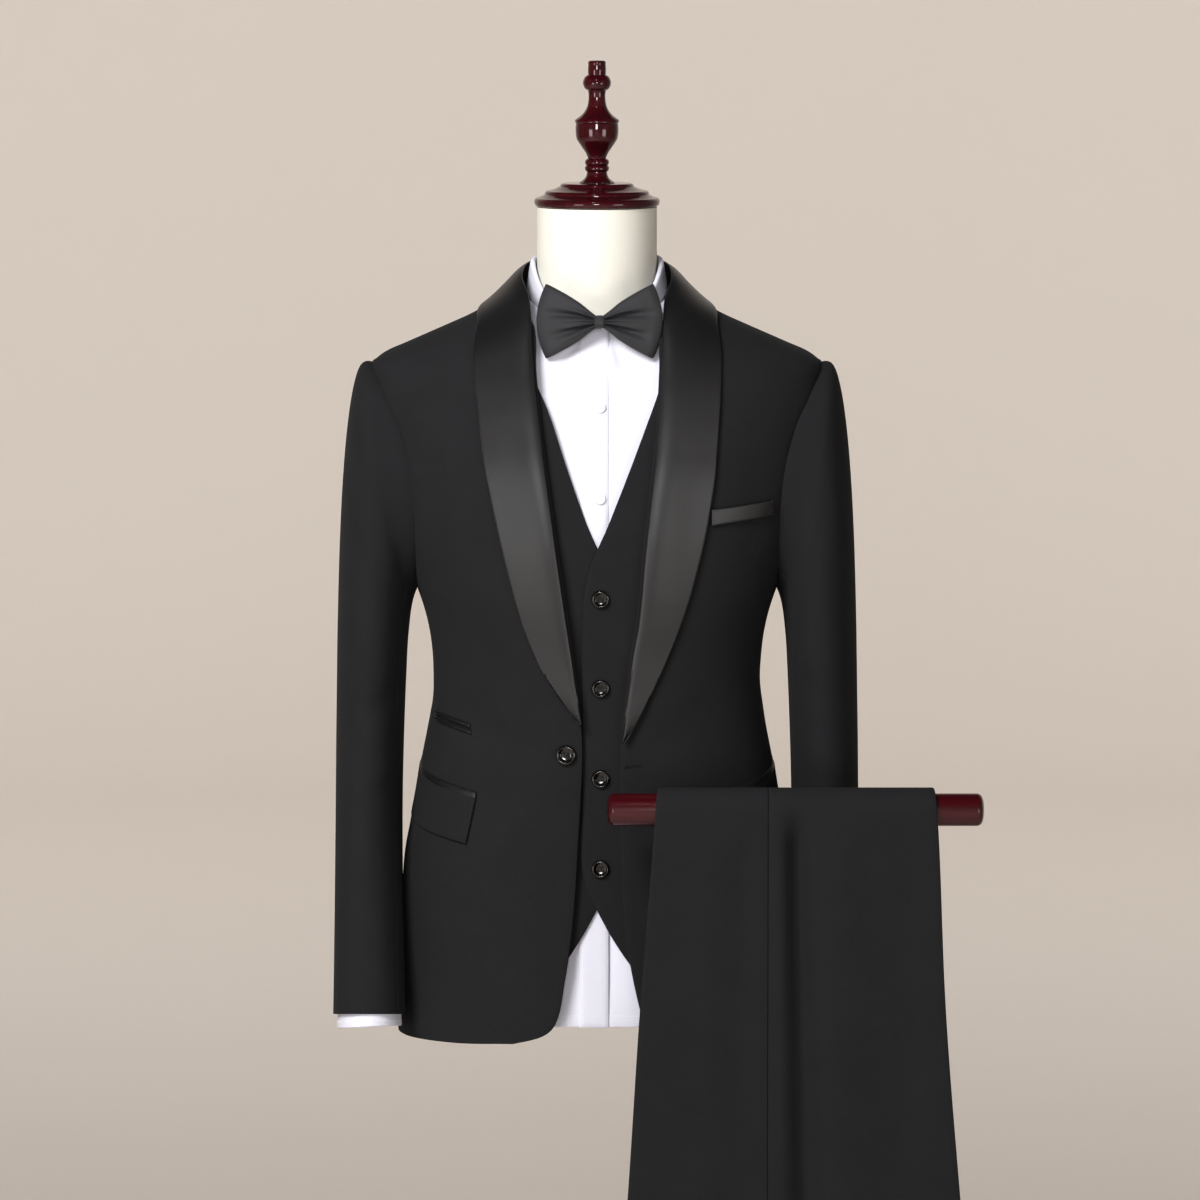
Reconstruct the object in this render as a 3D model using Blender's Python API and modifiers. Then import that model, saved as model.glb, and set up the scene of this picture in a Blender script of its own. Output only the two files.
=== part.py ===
"""Tuxedo on a dress form: jacket, waistcoat, dress shirt, bow tie and folded trousers.

The garments are walls of cloth on one body surface, each layer moved in from the jacket's outside.
Left and right are the wearer's, so left is +X. The front faces -Y. Metres.
"""
import math

import bpy
import numpy as np
from mathutils import Vector

# ---------------------------------------------------------------- driving sizes
FORM_X = -0.075           # the dress form stands this far beside its column
BODY_POWER = 2.3          # roundness of a horizontal section, 2 is an ellipse
SEAM_GAP = 0.0006         # each piece stops this far short of its seam line
SLEEVE_GAP = 0.0010       # the same along the tight bend of a sleeve seam
WOOL_WALL = 0.0020
SATIN_WALL = 0.0016
SHIRT_WALL = 0.0012
TROUSER_WALL = 0.0010

VEST_LEFT_OUT = -0.0060   # how far a layer's outside lies in from the jacket's outside
VEST_RIGHT_OUT = -0.0095
VEST_BACK_OUT = -0.0070
PLACKET_OUT = -0.0128
SHIRT_OUT = -0.0145
FORM_OUT = -0.0225

JACKET_HEM_Z = 0.742
WAIST_Z = 1.050           # above it the side seams curve to the armhole
SHIRT_HEM_Z = 0.760
VEST_HEM_Z = 0.862
FORM_BOTTOM_Z = 0.800
SIDE_SEAM = 77            # degrees round from the front, at the hem and the waist
BACK_SEAM = 130
SHOULDER_SEAM = math.radians(90)
SIDE_TURN = 148           # where the side seams meet the armhole, in degrees round it
BACK_TURN = 236

# the body surface, on the jacket's outside
SECTIONS = np.array([
    # z, half_width, front_depth, back_depth
    (0.700, 0.2000, 0.1200, 0.1300),
    (0.742, 0.1995, 0.1200, 0.1300),
    (0.800, 0.1980, 0.1200, 0.1300),
    (0.870, 0.1945, 0.1190, 0.1260),
    (0.929, 0.1905, 0.1180, 0.1180),
    (0.972, 0.1830, 0.1170, 0.1090),
    (1.008, 0.1770, 0.1160, 0.1020),
    (1.044, 0.1705, 0.1150, 0.0970),
    (1.073, 0.1655, 0.1150, 0.0950),
    (1.110, 0.1635, 0.1160, 0.0970),
    (1.150, 0.1680, 0.1190, 0.1030),
    (1.187, 0.1790, 0.1220, 0.1090),
    (1.240, 0.1960, 0.1240, 0.1150),
    (1.300, 0.2110, 0.1210, 0.1190),
    (1.350, 0.2210, 0.1130, 0.1180),
    (1.385, 0.2270, 0.1050, 0.1140),
    (1.401, 0.2262, 0.1005, 0.1110),
    (1.415, 0.2225, 0.0960, 0.1070),
    (1.426, 0.2040, 0.0922, 0.1033),
    (1.440, 0.1735, 0.0870, 0.0990),
    (1.468, 0.1135, 0.0780, 0.0900),
    (1.485, 0.0910, 0.0740, 0.0825),
    (1.497, 0.0785, 0.0705, 0.0750),
    (1.509, 0.0670, 0.0675, 0.0690),
    (1.535, 0.0640, 0.0650, 0.0660),
])

# opened front edge and roll line of each jacket front, from the hem up, and the collar's outer edge
EDGE_LEFT = np.array([
    # z, x_from_centre
    (0.7445, 0.094), (0.7470, 0.074), (0.7570, 0.054), (0.7770, 0.044), (0.8220, 0.034),
    (0.8760, 0.027), (0.9600, 0.024), (1.0170, 0.023),
])
EDGE_RIGHT = np.array([
    # z, x_from_centre
    (0.7445, 0.084), (0.7470, 0.064), (0.7570, 0.046), (0.7770, 0.038), (0.8220, 0.030),
    (0.8760, 0.023), (0.9600, 0.018), (1.0170, 0.015),
])
LAPEL_LEFT = np.array([
    # z, roll_x, edge_x
    (1.0440, 0.0245, 0.0260), (1.0790, 0.0275, 0.0480), (1.1250, 0.0325, 0.0690),
    (1.1720, 0.0400, 0.0870), (1.2250, 0.0445, 0.1020), (1.2860, 0.0510, 0.1140),
    (1.3570, 0.0585, 0.1210), (1.4090, 0.0615, 0.1240), (1.4410, 0.0620, 0.1210),
])
LAPEL_RIGHT = np.array([
    # z, roll_x, edge_x
    (1.0620, 0.0145, 0.0160), (1.0840, 0.0175, 0.0340), (1.1170, 0.0215, 0.0560),
    (1.1700, 0.0290, 0.0770), (1.2220, 0.0365, 0.0910), (1.2700, 0.0430, 0.1020),
    (1.3380, 0.0520, 0.1150), (1.3850, 0.0580, 0.1200), (1.4440, 0.0615, 0.1200),
])
NECK_SEAM_Z = 1.487       # where the jacket's shoulder seam ends at the collar
COLLAR_ROLL = np.array([
    # degrees_round_the_neck, z
    (49, 1.486), (90, 1.509), (135, 1.516), (180, 1.520),
])
COLLAR_EDGE = np.array([
    # degrees_round_the_neck, z
    (68.5, 1.456), (90, 1.468), (135, 1.474), (180, 1.478),
])

# armholes as ovals seen from the side: top, bottom, half depth
JACKET_ARMHOLE = (1.4145, 1.1870, 0.068)
SHIRT_ARMHOLE = (1.4060, 1.1960, 0.061)
VEST_ARMHOLE = (1.4300, 1.1720, 0.079)

SLEEVE = np.array([
    # outer_x, outer_z, inner_x, inner_z, half_depth, centre_y, front_rise
    (0.2360, 1.4105, 0.1835, 1.1760, 0.0710, 0.000, 0.00),
    (0.2432, 1.3880, 0.1860, 1.1630, 0.0735, 0.000, 0.00),
    (0.2490, 1.3500, 0.1875, 1.1500, 0.0750, 0.000, 0.00),
    (0.2535, 1.3000, 0.1890, 1.1340, 0.0755, 0.000, 0.00),
    (0.2570, 1.2350, 0.1910, 1.0950, 0.0745, 0.001, 0.00),
    (0.2595, 1.1500, 0.1930, 1.0450, 0.0720, 0.001, 0.00),
    (0.2610, 1.0600, 0.1945, 0.9850, 0.0680, -0.003, 0.02),
    (0.2615, 0.9700, 0.1945, 0.9200, 0.0635, -0.016, 0.07),
    (0.2620, 0.8750, 0.1930, 0.8500, 0.0570, -0.040, 0.13),
    (0.2630, 0.7670, 0.1905, 0.7670, 0.0500, -0.068, 0.16),
])
SLEEVE_WARP = 16          # crowds the points, in degrees, at the narrow front and back of a sleeve
SLEEVE_FRONT_SEAM = 155   # degrees round the sleeve from its outside, over the front
SLEEVE_BACK_SEAM = 245
SHIRT_SLEEVE_IN = 0.0085
CUFF_IN = 0.0042
CUFF_LENGTH = 0.070
CUFF_SHOWS = 0.013

VEST_WALL = 0.0018
VEST_NECK_Z = 1.480
VEST_LAP_FROM = 0.050     # the right front steps in between these distances from the centre
VEST_LAP_STEP = 0.028
VEST_BUTTON_X = 0.0035
VEST_BUTTON_Z = (1.1876, 1.0984, 1.0089, 0.9193)
VEST_EDGE_LEFT = np.array([
    # z, x_from_centre
    (0.8150, 0.0400), (0.8340, 0.0290), (0.8770, -0.0010), (0.9010, -0.0140), (1.0500, -0.0145),
    (1.1900, -0.0145), (1.2050, -0.0110), (1.2310, 0.0010), (1.2730, 0.0160), (1.3260, 0.0370),
    (1.3680, 0.0530), (1.4110, 0.0660),
])
VEST_EDGE_RIGHT = np.array([
    # z, x_from_centre
    (0.8150, 0.0400), (0.8340, 0.0290), (0.8770, -0.0010), (0.9010, -0.0145), (1.0500, -0.0150),
    (1.1900, -0.0150), (1.2100, -0.0100), (1.2310, 0.0000), (1.2910, 0.0200), (1.3475, 0.0410),
    (1.4040, 0.0600),
])

TRIM_OUT = 0.0030         # what lies on a panel: its outside, then its wall
TRIM_WALL = 0.0018
BREAST_WELT = ((0.1130, 1.2607), (0.1720, 1.2687), (0.1720, 1.2816), (0.1130, 1.2756))
TICKET_JET_UPPER = ((0.1250, 1.0562), (0.1600, 1.0650), (0.1600, 1.0700), (0.1250, 1.0612))
TICKET_JET_LOWER = ((0.1240, 1.0500), (0.1595, 1.0588), (0.1598, 1.0638), (0.1245, 1.0550))
POCKET_JET = ((52, 0.9880), (100, 1.0160), (100, 1.0210), (52, 0.9930))
POCKET_FLAP = ((54.5, 0.9430), (100, 0.9680), (100, 1.0150), (52, 0.9870))

SHIRT_NECK = np.array([
    # degrees_round_the_neck, z
    (6, 1.450), (30, 1.463), (45, 1.477), (60, 1.487), (75, 1.493), (90, 1.497), (180, 1.497),
])
PLACKET_HALF = 0.0070
PLACKET_TOP_Z = 1.456
STUD_Z = (1.3786, 1.2876)
COLLAR_RADIUS = 0.0626
COLLAR_OPENING = 3        # degrees from the centre front to either end
COLLAR_FOLD = 0.0012      # the fold's radius at the collar's top
FOLD_DROP = 0.0010
SHIRT_COLLAR = np.array([
    # degrees_round_the_neck, foot, top, leaf, leaf_out
    (0, 1.449, 1.458, 1.446, 0.0040), (30, 1.459, 1.469, 1.455, 0.0040), (58, 1.471, 1.488, 1.468, 0.0060),
    (90, 1.492, 1.515, 1.491, 0.0065), (135, 1.496, 1.520, 1.498, 0.0050), (180, 1.498, 1.526, 1.501, 0.0045),
])
BOW_WALL = 0.0012
BOW_X = 0.0026
BOW_Z = 1.4600
BOW_Y = -0.0880
BOW_BACK = 0.12           # the bow's ends lean back by this share of their length
BOW_END_BULGE = 0.0100    # and are rounded out by this at half height
BOW_LOOP = np.array([
    # x, y_from_middle, half_height
    (0.0068, -0.0030, 0.0062), (0.0200, -0.0050, 0.0190), (0.0350, -0.0062, 0.0285),
    (0.0470, -0.0055, 0.0350), (0.0515, -0.0025, 0.0368), (0.0515, 0.0025, 0.0368),
    (0.0470, 0.0045, 0.0350), (0.0350, 0.0045, 0.0285), (0.0200, 0.0035, 0.0190), (0.0068, 0.0025, 0.0062),
])
KNOT = (
    # radius, z_from_middle
    (0, 0.0068), (0.0042, 0.0066), (0.0060, 0.0052), (0.0066, 0.0025), (0.0066, -0.0025),
    (0.0060, -0.0052), (0.0042, -0.0066), (0, -0.0068),
)
BAND_HALF = 0.0040
BAND_OUT = 0.0021         # the bow's band runs between the collar's stand and its leaf
BAND_HEIGHT = np.array([
    # degrees_round_the_neck, z
    (0, 1.4520), (30, 1.4610), (58, 1.478), (90, 1.504), (135, 1.509), (180, 1.514),
])

# the folded trousers: distances along the cloth from the waist, x from the form's axis
ROD_RADIUS = 0.0160
ROD_Y = -0.1850
ROD_Z = 0.9880
ROD_LEFT_X = 0.0100
ROD_RIGHT_X = 0.3790
ROD_GAP = 0.0006
TROUSER_STEP = 0.0014     # from one layer of cloth to the next
TROUSER_FRONT_HANG = 0.670
TROUSER_SEAM_X = 0.1675
WAISTBAND_WALL = 0.0018
TROUSER_ROWS = np.array([0.038, 0.075, 0.110, 0.140, 0.170, 0.200, 0.240, 0.290, 0.385, 0.480, 0.575])
TROUSER_REAR_ROWS = np.array([0.120, 0.240, 0.360])
TROUSER_WIDTH = np.array([
    # along, front_edge_x, back_edge_x
    (0.000, 0.0000, 0.4120), (0.038, -0.0020, 0.4140), (0.110, -0.0040, 0.4200), (0.170, 0.0080, 0.4020),
    (0.220, 0.0240, 0.3660), (0.286, 0.0305, 0.3565), (0.480, 0.0430, 0.3410), (0.670, 0.0577, 0.3321),
    (0.790, 0.0660, 0.3200), (1.100, 0.0850, 0.3020),
])
TROUSER_FORK = np.array([
    # along, share_of_the_inner_half
    (0.000, 0.04), (0.150, 0.04), (0.180, 0.22), (0.215, 0.85), (0.235, 1.00), (1.100, 1.00),
])

# dress form and stand
FORM_NECK = 0.0596
FORM_SIDES = 24
FORM_NECK_ROWS = (
    # z, rise_from_side_to_back
    (1.463, 0.007), (1.515, 0.004), (1.5684, 0.0),
)
FORM_ROWS = (
    # z, out
    (FORM_BOTTOM_Z, -0.032), (0.812, FORM_OUT), (0.930, FORM_OUT), (1.000, FORM_OUT), (1.055, FORM_OUT),
    (1.110, FORM_OUT), (1.165, FORM_OUT), (1.235, FORM_OUT), (1.300, FORM_OUT), (1.350, FORM_OUT),
    (1.385, FORM_OUT), (1.408, -0.0225), (1.435, -0.0235),
    (1.457, -0.0240),
)
NECK_CAP = ((0, 1.5920), (0.034, 1.5920), (0.037, 1.5880), (0.050, 1.5830), (0.052, 1.5795),
            (0.0610, 1.5765), (0.0625, 1.5735), (0.0610, 1.5690), (0, 1.5690))
FINIAL = ((0, 1.7139), (0.0088, 1.7135), (0.0090, 1.6990), (0.0140, 1.6917), (0.0090, 1.6845),
          (0.0092, 1.6700), (0.0160, 1.6595), (0.0218, 1.6548), (0.0211, 1.6514), (0.0206, 1.6370),
          (0.0130, 1.6250), (0.0092, 1.6165), (0.0120, 1.6125), (0.0108, 1.6090), (0.0120, 1.6055),
          (0.0102, 1.6030), (0.0176, 1.5924), (0, 1.5924))
BASE_RADIUS = 0.200
BASE_HEIGHT = 0.024
COLUMN_RADIUS = 0.0140
ARM_Z = 0.545             # the rod's arm leaves the column here, below the trousers' rear end
ARM_X = 0.110             # and rises to the rod this far beside the column
ARM_RADIUS = 0.0070

WOOL = ("black_wool", (0.020, 0.020, 0.021), 0.85)
SATIN = ("charcoal_satin", (0.055, 0.055, 0.057), 0.40)
SHIRTING = ("white_cotton", (0.85, 0.85, 0.87), 0.80)
JERSEY = ("cream_jersey", (0.86, 0.84, 0.76), 0.85)
WOOD = ("red_mahogany", (0.130, 0.012, 0.018), 0.18)
HORN = ("black_horn", (0.010, 0.010, 0.010), 0.20)
PEARL = ("pearl", (0.85, 0.83, 0.80), 0.25)


# ---------------------------------------------------------------- smooth tables and the body surface
def smooth(table, at):
    """Read the columns of a table after its first one, smoothly and without overshoot."""
    x, y = table[:, 0], table[:, 1:]
    step = np.diff(x)[:, None]
    slope = np.diff(y, axis=0) / step
    product, total = slope[:-1] * slope[1:], slope[:-1] + slope[1:]
    tangent = np.zeros_like(y)
    tangent[1:-1] = np.where(product > 0, 2 * product / np.where(product > 0, total, 1), 0)
    tangent[0], tangent[-1] = slope[0], slope[-1]
    at = np.clip(np.asarray(at, float), x[0], x[-1])
    i = np.clip(np.searchsorted(x, at) - 1, 0, len(x) - 2)
    width = (x[i + 1] - x[i])[..., None]
    f = (at - x[i])[..., None] / width
    return ((1 + 2 * f) * (1 - f) ** 2 * y[i] + f * (1 - f) ** 2 * width * tangent[i]
            + f ** 2 * (3 - 2 * f) * y[i + 1] + f ** 2 * (f - 1) * width * tangent[i + 1])


def skin(angle, z):
    """The point of the body surface at an angle round from the front and a height."""
    width, front, back = np.moveaxis(smooth(SECTIONS, z), -1, 0)
    depth = np.where(np.cos(angle) > 0, front, back)
    reach = (np.abs(np.sin(angle) / width) ** BODY_POWER
             + np.abs(np.cos(angle) / depth) ** BODY_POWER) ** (-1 / BODY_POWER)
    return np.stack([reach * np.sin(angle), -reach * np.cos(angle), z + 0 * angle], axis=-1)


def body(angle, z, out=0.0):
    """The same, moved out along the surface's normal."""
    angle, z = np.broadcast_arrays(np.asarray(angle, float), np.asarray(z, float))
    step = 0.002
    across = skin(angle + step, z) - skin(angle - step, z)
    upward = skin(angle, z + step) - skin(angle, z - step)
    normal = np.cross(across, upward)
    normal /= np.linalg.norm(normal, axis=-1, keepdims=True)
    return skin(angle, z) + np.asarray(out, float)[..., None] * normal


def front_angle(x, z):
    """The angle at which the front of the body surface has this x."""
    width, front, _ = np.moveaxis(smooth(SECTIONS, z), -1, 0)
    share = np.clip(np.abs(x) / width, 0, 0.9999)
    return np.arctan2(x, front * (1 - share ** BODY_POWER) ** (1 / BODY_POWER))


def side_angle(y, z):
    """The angle at which the wearer's left side of the body surface has this y."""
    width, front, back = np.moveaxis(smooth(SECTIONS, z), -1, 0)
    share = np.clip(np.abs(y) / np.where(y < 0, front, back), 0, 0.9999)
    return np.arctan2(width * (1 - share ** BODY_POWER) ** (1 / BODY_POWER), -y)


def armhole(oval, start, end, count=24):
    """Angle and z along an armhole, from one turn to another. Turn 0 is its top, 90 its front."""
    top, bottom, half_depth = oval
    turn = np.radians(np.linspace(start, end, count))
    y = -half_depth * np.sin(turn)
    z = (top + bottom) / 2 + (top - bottom) / 2 * np.cos(turn)
    return np.column_stack([side_angle(y, z), z])


def seam(degrees, low, high, meets):
    """A seam that runs up at one angle to the waist and then curves to the point it meets."""
    bend = np.array([
        # z, angle
        (low, math.radians(degrees)), (high, math.radians(degrees)), (meets[1], meets[0]),
    ])
    z = np.linspace(low, meets[1], 40)
    return np.column_stack([smooth(bend, z)[:, 0], z])


def spread(points, count):
    """Even steps, measured on the body, along a smooth line of (angle, z) points."""
    points = np.array(points, float)
    chord = np.linalg.norm(np.diff(skin(*points.T), axis=0), axis=1)
    fine = smooth(np.column_stack([np.r_[0, np.cumsum(chord)], points]),
                  np.linspace(0, chord.sum(), 300))
    length = np.r_[0, np.cumsum(np.linalg.norm(np.diff(skin(*fine.T), axis=0), axis=1))]
    at = np.linspace(0, length[-1], count)
    return np.column_stack([np.interp(at, length, fine[:, k]) for k in (0, 1)])


def cornered(first, second, counts):
    """Even steps along two lines that meet at a corner, with a point at the corner."""
    return np.vstack([spread(first, counts[0]), spread(second, counts[1] + 1)[1:]])


def between(left, right, bottom, top):
    """Angle and z of a grid that fills four border lines of (angle, z) points."""
    rows, columns = len(left), len(bottom)
    s = np.linspace(0, 1, columns)[None, :, None]
    t = np.linspace(0, 1, rows)[:, None, None]
    corners = ((1 - s) * (1 - t) * left[0] + s * (1 - t) * right[0]
               + (1 - s) * t * left[-1] + s * t * right[-1])
    grid = (1 - s) * left[:, None] + s * right[:, None] + (1 - t) * bottom + t * top - corners
    return grid[..., 0], grid[..., 1]


# ---------------------------------------------------------------- objects
def clear_scene():
    for thing in list(bpy.data.objects):
        bpy.data.objects.remove(thing)
    folder = bpy.data.collections.new("tuxedo_on_dress_form")
    bpy.context.scene.collection.children.link(folder)
    return folder


def finish_material(kind):
    name, colour, roughness = kind
    if name in bpy.data.materials:
        return bpy.data.materials[name]
    material = bpy.data.materials.new(name)
    material.use_nodes = True
    shader = material.node_tree.nodes["Principled BSDF"]
    shader.inputs["Base Color"].default_value = (*colour, 1.0)
    shader.inputs["Roughness"].default_value = roughness
    return material


def add(name, mesh, kind, smooth_angle=50):
    """Put a mesh in the collection, under the dress form's axis."""
    thing = bpy.data.objects.new(name, mesh)
    COLLECTION.objects.link(thing)
    mesh.materials.append(finish_material(kind))
    mesh.shade_smooth()
    mesh.set_sharp_from_angle(angle=math.radians(smooth_angle))
    thing.parent = FORM_AXIS
    return thing


def pull_in(points, gap=SEAM_GAP):
    """Stop a grid of points a seam gap short of its four borders."""
    points = points.copy()
    for first, second in ((np.s_[:, 0], np.s_[:, 1]), (np.s_[:, -1], np.s_[:, -2]),
                          (np.s_[0], np.s_[1]), (np.s_[-1], np.s_[-2])):
        inward = points[second] - points[first]
        points[first] += gap * inward / np.linalg.norm(inward, axis=-1, keepdims=True)
    return points


def on_centre(points, rows):
    """Put the last column's lower rows on the centre plane, where the other half joins on."""
    points[:rows, -1, 0] = 0
    return points


def cloth(name, points, wall, kind, side=1, closed=False, offset=-1.0, mirrored=False):
    """A wall of cloth on a grid of points, rows upward and columns to the wearer's left."""
    if side < 0:
        points = points[:, ::-1] * (-1, 1, 1)
    rows, columns = points.shape[:2]
    faces = []
    for i in range(rows - 1):
        for j in range(columns if closed else columns - 1):
            k = (j + 1) % columns
            faces.append((i * columns + j, i * columns + k, (i + 1) * columns + k, (i + 1) * columns + j))
    mesh = bpy.data.meshes.new(name)
    mesh.from_pydata(points.reshape(-1, 3).tolist(), [], faces)
    thing = add(name, mesh, kind)
    if mirrored:
        mirror = thing.modifiers.new("other_half", 'MIRROR')
        mirror.merge_threshold = 0.00005
    solid = thing.modifiers.new("wall", 'SOLIDIFY')
    solid.thickness = wall
    solid.offset = offset
    return thing


def turned(name, profile, kind, centre=(0, 0, 0), steps=28):
    """A turned solid from (radius, z) points that run down its outside."""
    mesh = bpy.data.meshes.new(name)
    mesh.from_pydata([(r, 0, z) for r, z in profile], [(i, i + 1) for i in range(len(profile) - 1)], [])
    thing = add(name, mesh, kind)
    thing.location = centre
    screw = thing.modifiers.new("turn", 'SCREW')
    screw.steps = screw.render_steps = steps
    screw.use_merge_vertices = True
    screw.merge_threshold = 0.00005
    screw.use_normal_calculate = False
    return thing


def tube(name, points, radius, kind, sides=2):
    """A round bar along a line of points."""
    curve = bpy.data.curves.new(name, 'CURVE')
    curve.dimensions = '3D'
    curve.bevel_depth = radius
    curve.bevel_resolution = sides
    curve.use_fill_caps = True
    line = curve.splines.new('POLY')
    line.points.add(len(points) - 1)
    for point, place in zip(line.points, points):
        point.co = (*place, 1)
    curve.materials.append(finish_material(kind))
    thing = bpy.data.objects.new(name, curve)
    COLLECTION.objects.link(thing)
    return thing


# ---------------------------------------------------------------- jacket
def border(table):
    """(angle, z) points of an edge that a table gives as heights and distances from the centre."""
    return np.column_stack([front_angle(table[:, 1], table[:, 0]), table[:, 0]])


def roll_line(lapel):
    """The line where a front turns over into its lapel, from the button up to the neck seam."""
    front = border(lapel[:, :2])
    neck = np.array([(math.radians(46), 1.470), (SHOULDER_SEAM, NECK_SEAM_Z)])
    return np.vstack([front, neck])


def jacket_front(edge, lapel):
    hem_corner = border(edge[:1])
    arm = armhole(JACKET_ARMHOLE, SIDE_TURN, 0)
    inner = np.vstack([border(edge), roll_line(lapel)])
    side_seam = seam(SIDE_SEAM, JACKET_HEM_Z, WAIST_Z, arm[0])
    outer = cornered(side_seam, arm, (11, 8))
    hem = [hem_corner[0], ((hem_corner[0, 0] + side_seam[0, 0]) / 2, JACKET_HEM_Z), side_seam[0]]
    shoulder = [(SHOULDER_SEAM, NECK_SEAM_Z), (SHOULDER_SEAM, 1.45), (SHOULDER_SEAM, JACKET_ARMHOLE[0])]
    angle, z = between(spread(inner, 19), outer, spread(hem, 8), spread(shoulder, 8))
    return pull_in(body(angle, z))


def jacket_side():
    arm = armhole(JACKET_ARMHOLE, SIDE_TURN, BACK_TURN)
    front = seam(SIDE_SEAM, JACKET_HEM_Z, WAIST_Z, arm[0])
    back = seam(BACK_SEAM, JACKET_HEM_Z, WAIST_Z, arm[-1])
    hem = [front[0], (SHOULDER_SEAM, JACKET_HEM_Z), back[0]]
    angle, z = between(spread(front, 11), spread(back, 11), spread(hem, 7), spread(arm, 7))
    return pull_in(body(angle, z))


def centre_back(low, high):
    return [(math.pi, low), (math.pi, 1.1), (math.pi, high)]


def neck_curve(z):
    """The back of the neck, from the centre back to the shoulder seam."""
    return [(math.pi, z), (2.3, z), (SHOULDER_SEAM, z)]


def jacket_back():
    arm = armhole(JACKET_ARMHOLE, BACK_TURN, 360)
    side = cornered(seam(BACK_SEAM, JACKET_HEM_Z, WAIST_Z, arm[0]), arm, (11, 7))
    centre = cornered(centre_back(JACKET_HEM_Z, NECK_SEAM_Z), neck_curve(NECK_SEAM_Z), (14, 4))
    hem = [side[0], (2.7, JACKET_HEM_Z), centre[0]]
    shoulder = [side[-1], (SHOULDER_SEAM, 1.45), centre[-1]]
    angle, z = between(side, centre, spread(hem, 8), spread(shoulder, 8))
    return pull_in(body(angle, z))


def sleeve_rings(turns, rows=SLEEVE):
    """Rings of a sleeve, from the armhole down, at turns in degrees from its outside to its front."""
    turns = np.radians(turns + SLEEVE_WARP * np.sin(2 * np.radians(turns)))
    top, bottom, half_depth = JACKET_ARMHOLE
    y, z = -half_depth * np.sin(turns), (top + bottom) / 2 + (top - bottom) / 2 * np.cos(turns)
    head = skin(side_angle(y, z), z)
    rings = [head + (SEAM_GAP, 0, 0)]
    for outer_x, outer_z, inner_x, inner_z, depth, centre_y, rise in rows:
        outer, inner = np.array([outer_x, 0, outer_z]), np.array([inner_x, 0, inner_z])
        ring = ((outer + inner) / 2 + np.cos(turns)[:, None] * (outer - inner) / 2
                + np.sin(turns)[:, None] * depth * np.array([0, -1, rise]))
        rings.append(ring + (0, centre_y, 0))
    return np.array(rings)


def shrunk(tube, inset):
    """A sleeve's closed rings moved in along their normals."""
    across = np.roll(tube, -1, axis=1) - np.roll(tube, 1, axis=1)
    normal = np.cross(across, np.gradient(tube, axis=0))
    return tube - inset * normal / np.linalg.norm(normal, axis=-1, keepdims=True)


def jacket_sleeve(side):
    top = sleeve_rings(np.linspace(SLEEVE_BACK_SEAM - 360, SLEEVE_FRONT_SEAM, 13))
    under = sleeve_rings(np.linspace(SLEEVE_FRONT_SEAM, SLEEVE_BACK_SEAM, 6))
    word = "left" if side > 0 else "right"
    cloth(f"sleeve_top_{word}", pull_in(top, SLEEVE_GAP), WOOL_WALL, WOOL, side)
    cloth(f"sleeve_under_{word}", pull_in(under, SLEEVE_GAP), WOOL_WALL, WOOL, side)


def collar_line(lapel, column, round_neck):
    """(angle, z) of a shawl collar's roll or outer edge, from the button to the centre back."""
    front = np.column_stack([front_angle(lapel[:, column], lapel[:, 0]), lapel[:, 0]])
    neck = np.column_stack([np.radians(round_neck[:, 0]), round_neck[:, 1]])
    return np.vstack([front, neck])


def shawl(lapel):
    """One half of the collar: under the roll, round it, and out to the collar's edge."""
    rows = 22
    roll = spread(collar_line(lapel, 1, COLLAR_ROLL), rows)
    edge = spread(collar_line(lapel, 2, COLLAR_EDGE), rows)
    out_from_roll = np.array([
        # share_of_fall, out
        (0.00, 0.0038), (0.06, 0.0056), (0.20, 0.0070), (0.45, 0.0064), (0.75, 0.0051), (1.00, 0.0042),
    ])
    columns = []
    for share, out in out_from_roll:
        line = roll + share * (edge - roll)
        columns.append(body(line[:, 0], line[:, 1], out))
    return pull_in(np.array(columns).transpose(1, 0, 2))


def degrees_round(degrees, z):
    return np.radians(degrees)


def slab(corners, out, rows=3, columns=6, angle_of=front_angle):
    """A four-cornered piece that lies on a panel, out to a distance from the body surface.

    Corners are (across, z): low inner, low outer, top outer, top inner. Across is x, or degrees round.
    """
    corners = np.array(corners, float)
    s, t = np.meshgrid(np.linspace(0, 1, columns), np.linspace(0, 1, rows))
    weights = np.stack([(1 - s) * (1 - t), s * (1 - t), s * t, (1 - s) * t], axis=-1)
    across, z = np.moveaxis(weights @ corners, -1, 0)
    return body(angle_of(across, z), z, np.full(z.shape, out))


def button(name, x, z, out, radius, thickness, kind):
    """A flat round button on the front of a layer, with a raised rim."""
    low, high = out + SEAM_GAP, out + SEAM_GAP + thickness
    angle = front_angle(np.array(x), np.array(z))
    foot, head = body(angle, z, low), body(angle, z, high)
    profile = [(0, 0.75 * thickness), (0.70 * radius, 0.75 * thickness), (0.85 * radius, thickness),
               (radius, 0.6 * thickness), (0.94 * radius, 0), (0, 0)]
    disc = turned(name, profile, kind, foot, 14)
    disc.rotation_euler = Vector(head - foot).to_track_quat('Z', 'Y').to_euler()
    return disc


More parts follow.
